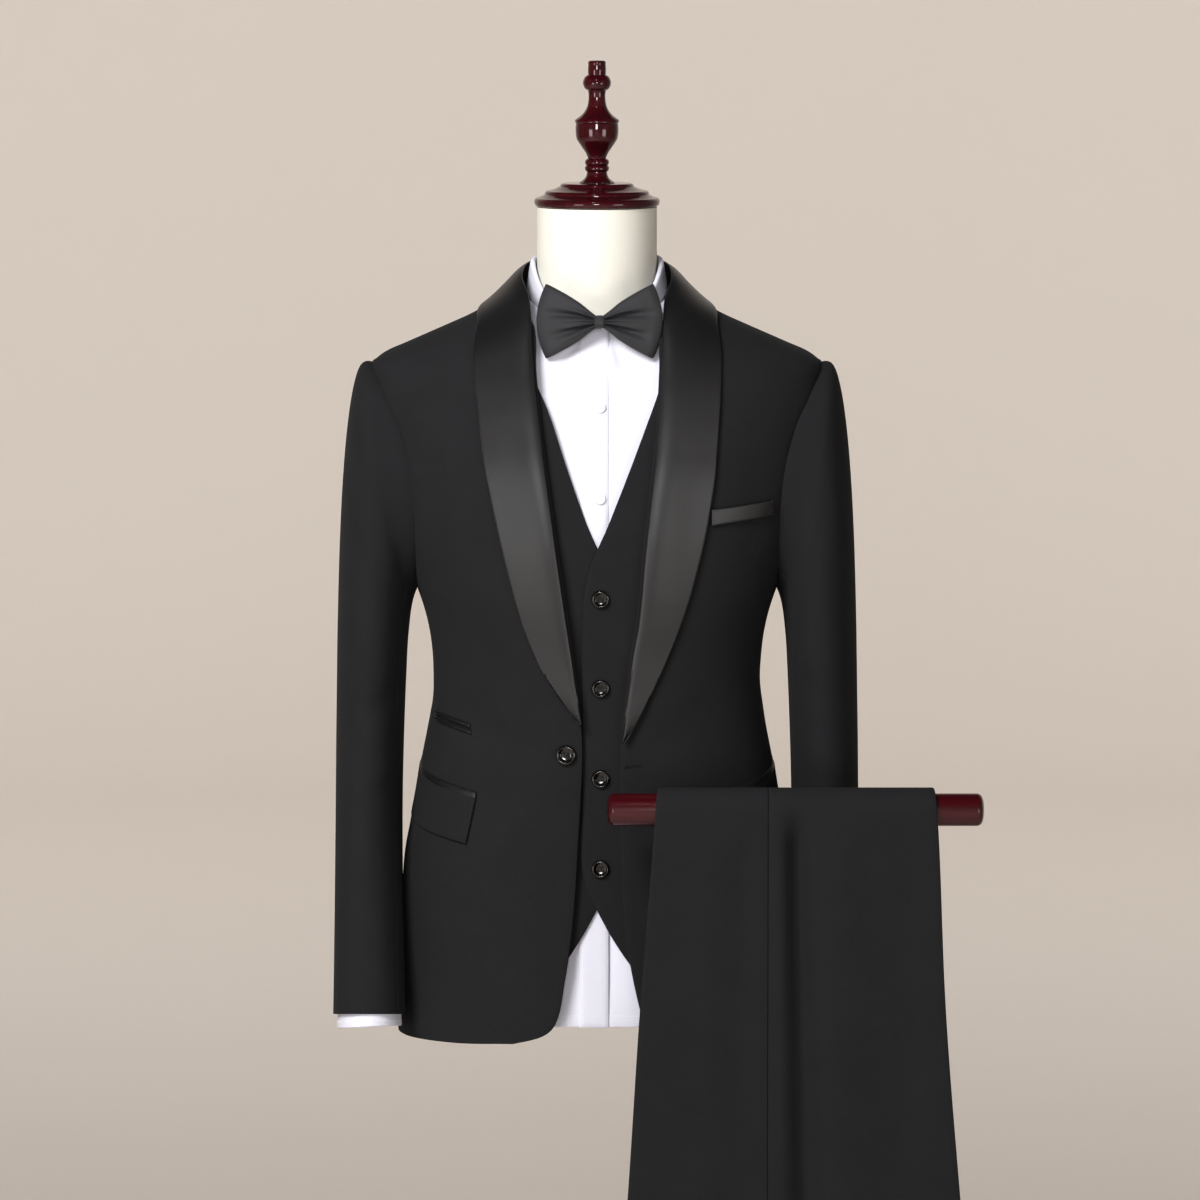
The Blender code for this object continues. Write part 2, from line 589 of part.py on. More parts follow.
def make_jacket():
    cloth("jacket_front_left", jacket_front(EDGE_LEFT, LAPEL_LEFT), WOOL_WALL, WOOL, 1)
    cloth("jacket_front_right", jacket_front(EDGE_RIGHT, LAPEL_RIGHT), WOOL_WALL, WOOL, -1)
    for word, side, lapel in (("left", 1, LAPEL_LEFT), ("right", -1, LAPEL_RIGHT)):
        cloth(f"jacket_side_{word}", jacket_side(), WOOL_WALL, WOOL, side)
        cloth(f"jacket_back_{word}", jacket_back(), WOOL_WALL, WOOL, side)
        cloth(f"shawl_{word}", shawl(lapel), SATIN_WALL, SATIN, side)
        jacket_sleeve(side)
        for name, corners in (("pocket_jet", POCKET_JET), ("pocket_flap", POCKET_FLAP)):
            lies = slab(corners, TRIM_OUT, 3, 11, degrees_round)
            cloth(f"{name}_{word}", lies, TRIM_WALL, WOOL, side)
    cloth("breast_welt", slab(BREAST_WELT, TRIM_OUT), TRIM_WALL, SATIN, 1)
    cloth("ticket_jet_upper", slab(TICKET_JET_UPPER, TRIM_OUT, 2, 4), TRIM_WALL, WOOL, -1)
    cloth("ticket_jet_lower", slab(TICKET_JET_LOWER, TRIM_OUT, 2, 4), TRIM_WALL, WOOL, -1)
    button("jacket_button", -0.0305, 1.0330, 0.0, 0.0100, 0.0035, HORN)


# ---------------------------------------------------------------- waistcoat
def vest_front(edge, out):
    arm = armhole(VEST_ARMHOLE, SIDE_TURN, 0)
    inner = np.vstack([border(edge), [(math.radians(58), 1.455), (SHOULDER_SEAM, VEST_NECK_Z)]])
    side = cornered(seam(SIDE_SEAM, VEST_HEM_Z, WAIST_Z, arm[0]), arm, (8, 6))
    middle = ((inner[0, 0] + side[0, 0]) / 2, 0.6 * edge[0, 0] + 0.4 * VEST_HEM_Z)
    shoulder = [inner[-1], (SHOULDER_SEAM, 1.455), side[-1]]
    angle, z = between(spread(inner, 14), side, spread([inner[0], middle, side[0]], 6), spread(shoulder, 6))
    return pull_in(body(angle, z, out(angle, z)))


def vest_back():
    arm = armhole(VEST_ARMHOLE, SIDE_TURN, 360)
    side = cornered(seam(SIDE_SEAM, VEST_HEM_Z, WAIST_Z, arm[0]), arm, (7, 8))
    centre = cornered(centre_back(VEST_HEM_Z, VEST_NECK_Z), neck_curve(VEST_NECK_Z), (12, 3))
    hem = [side[0], (2.2, VEST_HEM_Z), centre[0]]
    shoulder = [side[-1], (SHOULDER_SEAM, 1.455), centre[-1]]
    angle, z = between(side, centre, spread(hem, 7), spread(shoulder, 7))
    return on_centre(pull_in(body(angle, z, VEST_BACK_OUT)), 12)


def make_vest():
    def lap(angle, z):
        """The right front steps in behind the left one near the centre."""
        x = skin(angle, z)[..., 0]
        share = np.clip((VEST_LAP_FROM - x) / VEST_LAP_STEP, 0, 1)
        return VEST_LEFT_OUT + share * (VEST_RIGHT_OUT - VEST_LEFT_OUT)

    cloth("vest_front_left", vest_front(VEST_EDGE_LEFT, lambda angle, z: VEST_LEFT_OUT), VEST_WALL, WOOL, 1)
    cloth("vest_front_right", vest_front(VEST_EDGE_RIGHT, lap), VEST_WALL, WOOL, -1)
    cloth("vest_back", vest_back(), VEST_WALL, WOOL, mirrored=True)
    for number, z in enumerate(VEST_BUTTON_Z, 1):
        button(f"vest_button_{number}", VEST_BUTTON_X, z, VEST_LEFT_OUT, 0.0090, 0.0030, HORN)


# ---------------------------------------------------------------- dress shirt and bow tie
def shirt_neck(angle):
    """Height of the shirt's collar seam, as read on the body surface."""
    return smooth(SHIRT_NECK, np.degrees(angle))[..., 0]


def shirt_front():
    arm = armhole(SHIRT_ARMHOLE, SIDE_TURN, 0)
    turn = np.radians(np.linspace(SHIRT_NECK[0, 0], 90, 30))
    neck = np.column_stack([turn, shirt_neck(turn)])
    centre = front_angle(np.full(20, PLACKET_HALF), np.linspace(SHIRT_HEM_Z, neck[0, 1], 20))
    centre = np.column_stack([centre, np.linspace(SHIRT_HEM_Z, neck[0, 1], 20)])
    inner = cornered(centre, np.vstack([centre[-1:], neck[1:]]), (11, 4))
    side = cornered(seam(SIDE_SEAM, SHIRT_HEM_Z, WAIST_Z, arm[0]), arm, (9, 6))
    hem = [inner[0], (math.radians(40), SHIRT_HEM_Z), side[0]]
    shoulder = [inner[-1], (SHOULDER_SEAM, 1.455), side[-1]]
    angle, z = between(inner, side, spread(hem, 6), spread(shoulder, 6))
    return pull_in(body(angle, z, SHIRT_OUT))


def shirt_back():
    arm = armhole(SHIRT_ARMHOLE, SIDE_TURN, 360)
    turn = np.radians(np.linspace(180, 90, 30))
    neck = np.column_stack([turn, shirt_neck(turn)])
    side = cornered(seam(SIDE_SEAM, SHIRT_HEM_Z, WAIST_Z, arm[0]), arm, (8, 8))
    centre = cornered(centre_back(SHIRT_HEM_Z, neck[0, 1]), neck, (13, 3))
    hem = [side[0], (2.2, SHIRT_HEM_Z), centre[0]]
    shoulder = [side[-1], (SHOULDER_SEAM, 1.455), centre[-1]]
    angle, z = between(side, centre, spread(hem, 6), spread(shoulder, 6))
    return on_centre(pull_in(body(angle, z, SHIRT_OUT)), 13)


def shirt_sleeve(side):
    turns = np.linspace(0, 360, 17)[:-1]
    word = "left" if side > 0 else "right"
    warped = np.radians(turns + SLEEVE_WARP * np.sin(2 * np.radians(turns)))
    top, bottom, depth = SHIRT_ARMHOLE
    y, z = -depth * np.sin(warped), (top + bottom) / 2 + (top - bottom) / 2 * np.cos(warped)
    seam_ring = body(side_angle(y, z), z, SHIRT_OUT) + (3 * SEAM_GAP, 0, 0)
    rings = shrunk(sleeve_rings(turns), SHIRT_SLEEVE_IN)[[0, 1, 2, 4, 6, 8, 9]]
    tube = np.concatenate([seam_ring[None], rings])
    cloth(f"shirt_sleeve_{word}", tube, SHIRT_WALL, SHIRTING, side, closed=True)
    last, before = SLEEVE[-1], SLEEVE[-2]
    run = (before[1] - last[1])
    rows = [last + share * (before - last) for share in (CUFF_LENGTH / run, 0.5 * CUFF_LENGTH / run,
                                                          -CUFF_SHOWS / run)]
    cuff = shrunk(sleeve_rings(turns, rows)[1:], CUFF_IN)
    cloth(f"shirt_cuff_{word}", cuff, 0.0020, SHIRTING, side, closed=True)


def shirt_collar():
    """Stand and leaf in one wall: up the inside, over the fold and down the outside."""
    angle = np.radians(np.linspace(COLLAR_OPENING, 360 - COLLAR_OPENING, 23))
    fold = np.where(angle > math.pi, 2 * math.pi - angle, angle)
    foot, top, leaf, leaf_out = np.moveaxis(smooth(SHIRT_COLLAR, np.degrees(fold)), -1, 0)
    lines = []
    for out, height in ((0, foot), (0, 0.5 * (foot + top)), (0, top - FOLD_DROP), (COLLAR_FOLD, top),
                        (2 * COLLAR_FOLD, top - FOLD_DROP), (COLLAR_FOLD + 0.5 * leaf_out, 0.5 * (leaf + top)),
                        (leaf_out, leaf)):
        radius = COLLAR_RADIUS + out
        lines.append(np.column_stack([radius * np.sin(angle), -radius * np.cos(angle), height]))
    return np.array(lines)


def bow_wing():
    """One end of the bow: a loop of ribbon, narrow at the knot and flared at its end."""
    along, out, half_height = BOW_LOOP.T
    rows = []
    for share in np.linspace(-1, 1, 5):
        x = along + BOW_END_BULGE * (1 - share ** 2) * (along / along.max()) ** 4
        rows.append(np.column_stack([x, BOW_Y + out + BOW_BACK * along, BOW_Z + share * half_height]))
    return np.array(rows)


def make_shirt_and_bow():
    for word, side in (("left", 1), ("right", -1)):
        cloth(f"shirt_front_{word}", shirt_front(), SHIRT_WALL, SHIRTING, side)
        shirt_sleeve(side)
        cloth(f"bow_{word}", bow_wing(), BOW_WALL, SATIN, side).location.x = BOW_X
    cloth("shirt_back", shirt_back(), SHIRT_WALL, SHIRTING, mirrored=True)
    placket = [(-PLACKET_HALF - 0.010, SHIRT_HEM_Z), (PLACKET_HALF + 0.004, SHIRT_HEM_Z),
               (PLACKET_HALF + 0.004, PLACKET_TOP_Z), (-PLACKET_HALF - 0.010, PLACKET_TOP_Z)]
    cloth("shirt_placket", slab(placket, PLACKET_OUT, 22, 3), 0.0010, SHIRTING)
    cloth("shirt_collar", shirt_collar(), 0.0012, SHIRTING)
    for number, z in enumerate(STUD_Z, 1):
        button(f"shirt_stud_{number}", 0.0030, z, PLACKET_OUT, 0.0055, 0.0022, PEARL)
    turned("bow_knot", KNOT, SATIN, (BOW_X, BOW_Y, BOW_Z), 16)
    angle = np.radians(np.linspace(COLLAR_OPENING, 360 - COLLAR_OPENING, 23))
    fold = np.where(angle > math.pi, 2 * math.pi - angle, angle)
    middle = smooth(BAND_HEIGHT, np.degrees(fold))[:, 0]
    radius = COLLAR_RADIUS + BAND_OUT
    band = np.array([np.column_stack([radius * np.sin(angle), -radius * np.cos(angle), middle + rise])
                     for rise in (-BAND_HALF, BAND_HALF)])
    cloth("bow_band", band, 0.0010, SATIN)


# ---------------------------------------------------------------- trousers over the rod
def trouser_place(along, level, x):
    """A point of the folded trousers: along the cloth from the waist, and out from the rod."""
    radius = ROD_RADIUS + ROD_GAP + level
    middle = ROD_RADIUS + ROD_GAP + 2 * TROUSER_STEP
    turn = np.clip((along - TROUSER_FRONT_HANG) / middle, 0, math.pi)
    hang = np.where(turn == 0, TROUSER_FRONT_HANG - along, 0)
    hang = hang + np.where(turn == math.pi, along - TROUSER_FRONT_HANG - math.pi * middle, 0)
    return np.stack([x, ROD_Y - radius * np.cos(turn), ROD_Z + radius * np.sin(turn) - hang], axis=-1)


def trouser_panel(edge_column, outer_level, inner_level):
    """Half a leg, folded at its crease: from the side seam out to the crease, round it and back in."""
    middle = ROD_RADIUS + ROD_GAP + 2 * TROUSER_STEP
    bend = TROUSER_FRONT_HANG + middle * np.linspace(0, math.pi, 7)
    along = np.r_[TROUSER_ROWS, bend, bend[-1] + TROUSER_REAR_ROWS]
    edge, inner_share = smooth(TROUSER_WIDTH, along)[:, edge_column], smooth(TROUSER_FORK, along)[:, 0]
    width = edge - TROUSER_SEAM_X
    outward = np.sign(width[0])
    fold = 0.5 * abs(outer_level - inner_level) * outward
    outer = [(share, outer_level) for share in (0, 0.5, 1)]
    inner = [(share, inner_level) for share in (0, 1)]
    columns = []
    for share, level in outer:
        x = TROUSER_SEAM_X + outward * SEAM_GAP + share * (width - fold - outward * SEAM_GAP)
        columns.append(trouser_place(along, level, x))
    columns.append(trouser_place(along, 0.5 * (outer_level + inner_level), edge))
    for share, level in inner:
        run = inner_share * (width - fold - outward * SEAM_GAP)
        columns.append(trouser_place(along, level, edge - fold - share * run))
    return np.array(columns).transpose(1, 0, 2)


def make_trousers():
    levels = [0.5 * TROUSER_WALL + k * TROUSER_STEP for k in range(4)]
    for word, outer, inner in (("left", levels[0], levels[1]), ("right", levels[3], levels[2])):
        for part, column in (("front", 0), ("back", 1)):
            cloth(f"trouser_{part}_{word}", trouser_panel(column, outer, inner), TROUSER_WALL, WOOL,
                  offset=0.0)
        along = np.array([0, 0.5, 1])[:, None] * (TROUSER_ROWS[0] - SEAM_GAP)
        ends = smooth(TROUSER_WIDTH, along[:, 0])
        x = ends[:, :1] + np.linspace(0, 1, 7) * (ends[:, 1:2] - ends[:, :1])
        band = trouser_place(along + 0 * x, outer + 0 * x, x)
        cloth(f"waistband_{word}", band, WAISTBAND_WALL, WOOL, offset=0.0)


# ---------------------------------------------------------------- dress form and stand
def make_form():
    angle = np.radians(np.linspace(0, 360, FORM_SIDES + 1)[:-1])
    rings = [body(angle, z, out) for z, out in FORM_ROWS]
    rings[0][:, 2] = FORM_BOTTOM_Z
    for z, rise in FORM_NECK_ROWS:
        height = z - rise * np.cos(angle)
        rings.append(np.column_stack([FORM_NECK * np.sin(angle), -FORM_NECK * np.cos(angle), height]))
    points = np.concatenate(rings)
    faces = [tuple(range(FORM_SIDES - 1, -1, -1)), tuple(range(len(points) - FORM_SIDES, len(points)))]
    for i in range(len(rings) - 1):
        low, high = FORM_SIDES * i, FORM_SIDES * (i + 1)
        for j in range(FORM_SIDES):
            k = (j + 1) % FORM_SIDES
            faces.append((low + j, low + k, high + k, high + j))
    mesh = bpy.data.meshes.new("form_body")
    mesh.from_pydata(points.tolist(), [], faces)
    add("form_body", mesh, JERSEY)
    turned("neck_cap", NECK_CAP, WOOD, steps=24)
    turned("finial", FINIAL, WOOD, steps=16)


def make_stand():
    top = FORM_BOTTOM_Z - SEAM_GAP
    base = [(0, BASE_HEIGHT), (0.030, BASE_HEIGHT), (0.110, 0.016), (0.190, 0.012),
            (BASE_RADIUS, 0.007), (BASE_RADIUS, 0), (0, 0)]
    column = [(0, top), (COLUMN_RADIUS, top), (COLUMN_RADIUS, BASE_HEIGHT + SEAM_GAP), (0, BASE_HEIGHT + SEAM_GAP)]
    bore, outer = COLUMN_RADIUS + SEAM_GAP, COLUMN_RADIUS + 0.009
    low, high = ARM_Z - 0.018, ARM_Z + 0.018
    clamp = [(bore, high), (outer - 0.002, high), (outer, high - 0.002), (outer, low + 0.002),
             (outer - 0.002, low), (bore, low), (bore, high)]
    for name, profile, steps in (("base", base, 32), ("column", column, 20), ("arm_clamp", clamp, 20)):
        turned(name, profile, WOOD, (-FORM_X, 0, 0), steps)
    start = np.array([0, -outer - SEAM_GAP, ARM_Z])
    foot = np.array([ARM_X, ROD_Y, ARM_Z + 0.060])
    turn = np.linspace(0, math.pi / 2, 7)[:, None]
    lead = start + (0, -0.012, 0)
    elbow = lead + 0.72 * (foot - lead) * (1, 1, 0)
    bend = elbow + np.sin(turn) * (foot - elbow) * (1, 1, 0) + (1 - np.cos(turn)) * (foot - elbow) * (0, 0, 1)
    top = foot * (1, 1, 0) + (0, 0, ROD_Z - ROD_RADIUS - 2 * SEAM_GAP)
    tube("rod_arm", np.vstack([[start, lead], bend, [top]]), ARM_RADIUS, WOOD)
    length = ROD_RIGHT_X - ROD_LEFT_X
    dome = 0.004
    ends = [(0, length), (0.8 * ROD_RADIUS, length), (ROD_RADIUS, length - dome), (ROD_RADIUS, dome),
            (0.8 * ROD_RADIUS, 0), (0, 0)]
    rod = turned("trouser_rod", ends, WOOD, (ROD_LEFT_X, ROD_Y, ROD_Z), 24)
    rod.rotation_euler = (0, math.pi / 2, 0)


# ---------------------------------------------------------------- assembly
COLLECTION = clear_scene()
FORM_AXIS = bpy.data.objects.new("form_axis", None)
COLLECTION.objects.link(FORM_AXIS)
FORM_AXIS.location = (FORM_X, 0, 0)
make_form()
make_shirt_and_bow()
make_vest()
make_jacket()
make_trousers()
make_stand()
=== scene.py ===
# %% [markdown]
# A man's black evening suit stands here on a dress form: jacket, waistcoat, shirt and bow tie are worn
# by the form, and the trousers hang folded over a rod in front. The solids that carry every size are
# already built. This script loads them as a fixed frame and dresses them: each piece of cloth becomes a
# fine shell on its solid's own form, with soft creases, a rounded edge, sewing and a woven finish.

# %% Load the frame
import math

import bpy
import numpy as np
from mathutils.bvhtree import BVHTree
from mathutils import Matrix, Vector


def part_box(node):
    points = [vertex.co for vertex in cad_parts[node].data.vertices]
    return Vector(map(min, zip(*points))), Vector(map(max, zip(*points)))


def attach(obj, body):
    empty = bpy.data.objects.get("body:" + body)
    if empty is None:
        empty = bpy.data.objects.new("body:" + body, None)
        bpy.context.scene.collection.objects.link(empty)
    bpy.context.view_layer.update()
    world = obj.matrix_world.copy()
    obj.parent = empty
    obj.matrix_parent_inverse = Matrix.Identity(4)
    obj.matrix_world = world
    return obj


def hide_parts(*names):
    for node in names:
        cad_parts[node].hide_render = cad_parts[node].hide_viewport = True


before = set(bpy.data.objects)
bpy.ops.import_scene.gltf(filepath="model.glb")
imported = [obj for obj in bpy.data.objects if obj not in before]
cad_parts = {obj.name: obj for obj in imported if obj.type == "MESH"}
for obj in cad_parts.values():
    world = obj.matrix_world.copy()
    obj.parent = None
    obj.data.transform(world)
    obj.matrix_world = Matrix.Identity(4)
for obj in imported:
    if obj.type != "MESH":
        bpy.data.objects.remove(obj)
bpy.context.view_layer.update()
FORM_X = float(np.mean([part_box("neck_cap")[0][0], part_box("neck_cap")[1][0]]))

# %% [markdown]
# The set is seen from straight in front and a little above, from far enough away that upright edges
# stay upright, so the lens is long.

# %% Camera
CAMERA_DISTANCE = 8.0
CAMERA_RISE = math.radians(6)
AIM = (FORM_X + 0.003, 0.0, 1.175)
LENS_MM = 240.0


def place_camera():
    camera = bpy.data.objects.new("camera", bpy.data.cameras.new("camera"))
    camera.data.lens = LENS_MM
    camera.data.sensor_width = 36.0
    camera.data.clip_end = 60
    camera.location = (AIM[0], -CAMERA_DISTANCE * math.cos(CAMERA_RISE),
                       AIM[2] + CAMERA_DISTANCE * math.sin(CAMERA_RISE))
    camera.rotation_euler = (math.radians(90) - CAMERA_RISE, 0, 0)
    bpy.context.scene.collection.objects.link(camera)
    bpy.context.scene.camera = camera


place_camera()

# %% [markdown]
# Colours are written as the sRGB hex values that a colour picker gives. Blender's shaders work in linear
# light, so one function turns them, and one adds a shader node with its settings and its links.

# %% Colour and node helpers


def linear(hex_colour):
    """An sRGB hex value such as 'd8cfc6' as linear red, green, blue and alpha."""
    values = [int(hex_colour[i:i + 2], 16) / 255 for i in (0, 2, 4)]
    return tuple(v / 12.92 if v <= 0.04045 else ((v + 0.055) / 1.055) ** 2.4 for v in values) + (1.0,)


def node(tree, kind, settings=None, links=None, **values):
    """Adds a shader node, sets its properties and its input values, and links sockets into it."""
    made = tree.nodes.new(kind)
    for name, value in (settings or {}).items():
        setattr(made, name, value)
    for name, value in values.items():
        made.inputs[name.replace("_", " ")].default_value = value
    for name, source in (links or {}).items():
        tree.links.new(source, made.inputs[name])
    return made


def new_material(name):
    """A material whose surface is one Principled shader, returned with its tree and that shader."""
    material = bpy.data.materials.new(name)
    material.use_nodes = True
    return material, material.node_tree, material.node_tree.nodes["Principled BSDF"]

# %% [markdown]
# The wool is a fine worsted, woven as a twill from smooth long-fibre yarn. It gives the eye a deep black
# that is almost without shine, with a faint lift where it turns away. The twill's diagonal lines are
# 0.5 mm apart on such a cloth. That is too fine to show from here, so it is drawn at 1.6 mm. Its place on
# each piece is read from a map in millimetres of cloth, so it follows the grain of every panel.


def two_toned(dark, light, mixed_by, raised_by, strength, relief_mm, tree, shader, shader_values):
    """Links two tones, a bump and plain values into a shader."""
    colour = node(tree, "ShaderNodeMix", {"data_type": "RGBA"}, {"Factor": mixed_by})
    colour.inputs["A"].default_value = linear(dark)
    colour.inputs["B"].default_value = linear(light)
    bump = node(tree, "ShaderNodeBump", None, {"Height": raised_by}, Strength=strength,
                Distance=0.001 * relief_mm)
    tree.links.new(colour.outputs["Result"], shader.inputs["Base Color"])
    tree.links.new(bump.outputs[0], shader.inputs["Normal"])
    for socket, value in shader_values.items():
        shader.inputs[socket.replace("_", " ")].default_value = value


def woven(name, slot, dark, light, pitch_mm, direction, relief_mm, **shader_values):
    """A cloth of two close tones, with raised lines at a real pitch and soft uneven patches."""
    material, tree, shader = new_material(name)
    where = node(tree, "ShaderNodeUVMap", {"uv_map": "cloth_mm"}).outputs[0]
    lines = node(tree, "ShaderNodeTexWave", {"bands_direction": direction, "wave_profile": "SIN"},
                 {"Vector": where}, Scale=2 * math.pi / (20 * pitch_mm), Distortion=0.8, Detail=1.5)
    patches = node(tree, "ShaderNodeTexNoise", None, {"Vector": where}, Scale=0.018, Detail=3.0)
    flecks = node(tree, "ShaderNodeTexNoise", None, {"Vector": where}, Scale=0.8, Detail=2.0)
    uneven = node(tree, "ShaderNodeMix", {"data_type": "FLOAT"},
                  {"A": patches.outputs[0], "B": flecks.outputs[0]}, Factor=0.4)
    two_toned(dark, light, uneven.outputs[0], lines.outputs["Fac"], 0.3, relief_mm, tree, shader,
              shader_values)
    return material


WORSTED = woven("worsted_wool", "wool", "232324", "2b2b2d", 1.6, "DIAGONAL", 0.12,
                Roughness=0.95, Specular_IOR_Level=0.08, Sheen_Weight=0.02, Sheen_Roughness=0.6)
print("cloth:", WORSTED.name)

# %% [markdown]
# The lapels, the pocket welt and the bow are silk satin: long floats of unspun yarn lie side by side, so
# the surface throws light back like a soft mirror, brighter where it faces the lamp and black elsewhere.
# Its floats run up and down the lapel, so its highlights are drawn out across. The lines are 0.1 mm apart
# on the real cloth and drawn at 1.2 mm. The dress shirt is cotton poplin, plain woven, matt and white.

# %% Satin and poplin
SATIN = woven("silk_satin", "satin", "161617", "1e1e20", 1.2, "X", 0.03,
              Roughness=0.42, Specular_IOR_Level=0.70, Anisotropic=0.35, Sheen_Weight=0.05,
              Sheen_Roughness=0.35)
BOW_SATIN = woven("ribbed_silk", "satin", "2d2d2f", "39393c", 1.5, "X", 0.05,
                  Roughness=0.55, Specular_IOR_Level=0.40, Sheen_Weight=0.05, Sheen_Roughness=0.4)
POPLIN = woven("cotton_poplin", "shirting", "cbcbd6", "d8d8e2", 1.0, "X", 0.03,
               Roughness=0.80, Specular_IOR_Level=0.3, Sheen_Weight=0.10, Sheen_Roughness=0.5)

# %% [markdown]
# The dress form is papier-mache padded out and covered in a cream cotton jersey, so it is matt and very
# fine in grain. The cap, the finial, the rod and the stand are turned from a close-grained hardwood, such
# as beech, stained to red mahogany and lacquered: a dark red-brown with fine long pores under a clear
# coat that reflects the lamps sharply. Pores are 0.1 mm wide on beech and drawn 0.6 mm wide.

# %% Jersey and lacquered wood


def patterned(name, slot, dark, light, scale, stretch, relief_mm, **shader_values):
    """A finish of two tones from noise in the object's own space, stretched along its grain."""
    material, tree, shader = new_material(name)
    where = node(tree, "ShaderNodeTexCoord")
    grain = node(tree, "ShaderNodeMapping", None, {"Vector": where.outputs["Object"]}, Scale=stretch)
    pattern = node(tree, "ShaderNodeTexNoise", None, {"Vector": grain.outputs[0]}, Scale=scale, Detail=4.0)
    two_toned(dark, light, pattern.outputs[0], pattern.outputs[0], 0.25, relief_mm, tree, shader,
              shader_values)
    return material


JERSEY = patterned("cotton_jersey", "jersey", "d0cec4", "dad8cf", 700.0, (1, 1, 0.6), 0.10,
                   Roughness=0.85, Specular_IOR_Level=0.25, Sheen_Weight=0.1)
LACQUER = {"Roughness": 0.60, "Specular_IOR_Level": 0.1, "Coat_Weight": 1.0, "Coat_IOR": 1.55}
MAHOGANY = patterned("lacquered_beech", "dark_wood", "1e0206", "440812", 160.0, (1, 1, 0.06), 0.02,
                     Coat_Roughness=0.10, **LACQUER)
MAHOGANY_ACROSS = patterned("lacquered_beech_rod", "dark_wood", "240207", "4c0a14", 160.0, (0.06, 1, 1), 0.02,
                            Coat_Roughness=0.22, **LACQUER)
print("finishes:", JERSEY.name, MAHOGANY.name)

# %% [markdown]
# The buttons are polished black horn, which is keratin: nearly black, glossy, with faint paler veins. The
# shirt's studs are mother of pearl, a white that turns slightly blue and pink in patches. The sewing is
# done in mercerised cotton thread, black on the suit and white on the shirt.

# %% Horn, pearl and thread
HORN = patterned("polished_horn", "horn", "070707", "141312", 220.0, (1, 1, 0.3), 0.01,
                 Roughness=0.16, Specular_IOR_Level=0.6, Coat_Weight=0.6, Coat_Roughness=0.05)
PEARL = patterned("mother_of_pearl", "pearl", "dfe4ea", "fbf0ee", 330.0, (1, 1, 1), 0.01,
                  Roughness=0.22, Specular_IOR_Level=0.6, Coat_Weight=0.5, Coat_Roughness=0.08)
COTTON = {"Roughness": 0.55, "Specular_IOR_Level": 0.4}
BLACK_THREAD = patterned("black_thread", "wool", "1b1b1d", "303033", 900.0, (1, 1, 1), 0.05, **COTTON)
WHITE_THREAD = patterned("white_thread", "shirting", "e6e6ee", "fbfbff", 900.0, (1, 1, 1), 0.05, **COTTON)
print("finishes:", HORN.name, PEARL.name, BLACK_THREAD.name, WHITE_THREAD.name)

# %% [markdown]
# Each solid panel was drawn as a net of a few rows and columns with a wall on it. Blender's importer
# gives it back as loose triangles, so the net is found again: rim faces are those with no wall close
# behind them, the rest falls into an outside and an inside, and rows are followed from a corner.

# %% Find a panel's net again
RIM_DEPTH = 0.0030
LEVEL = 0.75


def welded(name):
    """A solid's points and triangles, with points in one place made one."""
    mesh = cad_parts[name].data
    spots, index = np.unique(np.round([v.co for v in mesh.vertices], 6), axis=0, return_inverse=True)
    index = index.reshape(-1)
    return spots, [tuple(int(index[v]) for v in face.vertices) for face in mesh.polygons]


def joined_sets(triangles):
    """The triangles in sets that hang together by their edges, the largest two last."""
    by_edge = {}
    for number, triangle in enumerate(triangles):
        for i in range(3):
            by_edge.setdefault(frozenset((triangle[i], triangle[i - 2])), []).append(number)
    sets, left = [], set(range(len(triangles)))
    while left:
        stack, found = [left.pop()], []
        while stack:
            number = stack.pop()
            found.append(triangles[number])
            for i in range(3):
                for other in by_edge[frozenset((triangles[number][i], triangles[number][i - 2]))]:
                    if other in left:
                        left.remove(other)
                        stack.append(other)
        sets.append(found)
    return sorted(sets, key=len)


def grown(points, triangles, own):
    """Adds to each side the points that a nearly level triangle joins to it."""
    corners = points[np.array(triangles)]
    normals = np.cross(corners[:, 1] - corners[:, 0], corners[:, 2] - corners[:, 0])
    normals /= np.linalg.norm(normals, axis=1)[:, None] + 1e-12
    at_edge = {}
    for number, t in enumerate(triangles):
        for i in range(3):
            at_edge.setdefault(frozenset((t[i], t[i - 2])), []).append(number)
    changed = True
    while changed:
        changed = False
        for side, other in ((own[0], own[1]), (own[1], own[0])):
            for first, second in at_edge.values():
                for known, new in ((first, second), (second, first)):
                    if not side.issuperset(triangles[known]) or normals[known] @ normals[new] < LEVEL:
                        continue
                    extra = set(triangles[new]) - side
                    if extra and not extra & other:
                        side |= extra
                        changed = True
    return own


def wall_sides(points, triangles):
    """The triangles of the outside and of the inside of a wall, without its rim."""
    tree = BVHTree.FromPolygons([tuple(p) for p in points], triangles)
    depths = []
    for triangle in triangles:
        a, b, c = points[list(triangle)]
        normal = np.cross(b - a, c - a)
        normal /= np.linalg.norm(normal) + 1e-12
        hit = tree.ray_cast(tuple((a + b + c) / 3 - 2e-5 * normal), tuple(-normal), RIM_DEPTH)
        depths.append(hit[3] if hit[0] is not None else RIM_DEPTH)
    depths = np.array(depths)
    wall = np.median(depths)
    sure = [t for t, depth in zip(triangles, depths) if abs(depth / wall - 1) < 0.06]
    own = [{v for t in found for v in t} for found in joined_sets(sure)[-2:]]
    own = grown(points, triangles, own)
    everything = set(range(len(points)))
    if len(own[0]) == len(points) // 2:
        own[1] = everything - own[0]
    elif len(own[1]) == len(points) // 2:
        own[0] = everything - own[1]
    sides = [[t for t in triangles if side.issuperset(t)] for side in own]
    if len(own[0]) != len(own[1]):
        raise ValueError(f"sides of {len(own[0])} and {len(own[1])} of {len(points)} points")
    return sides


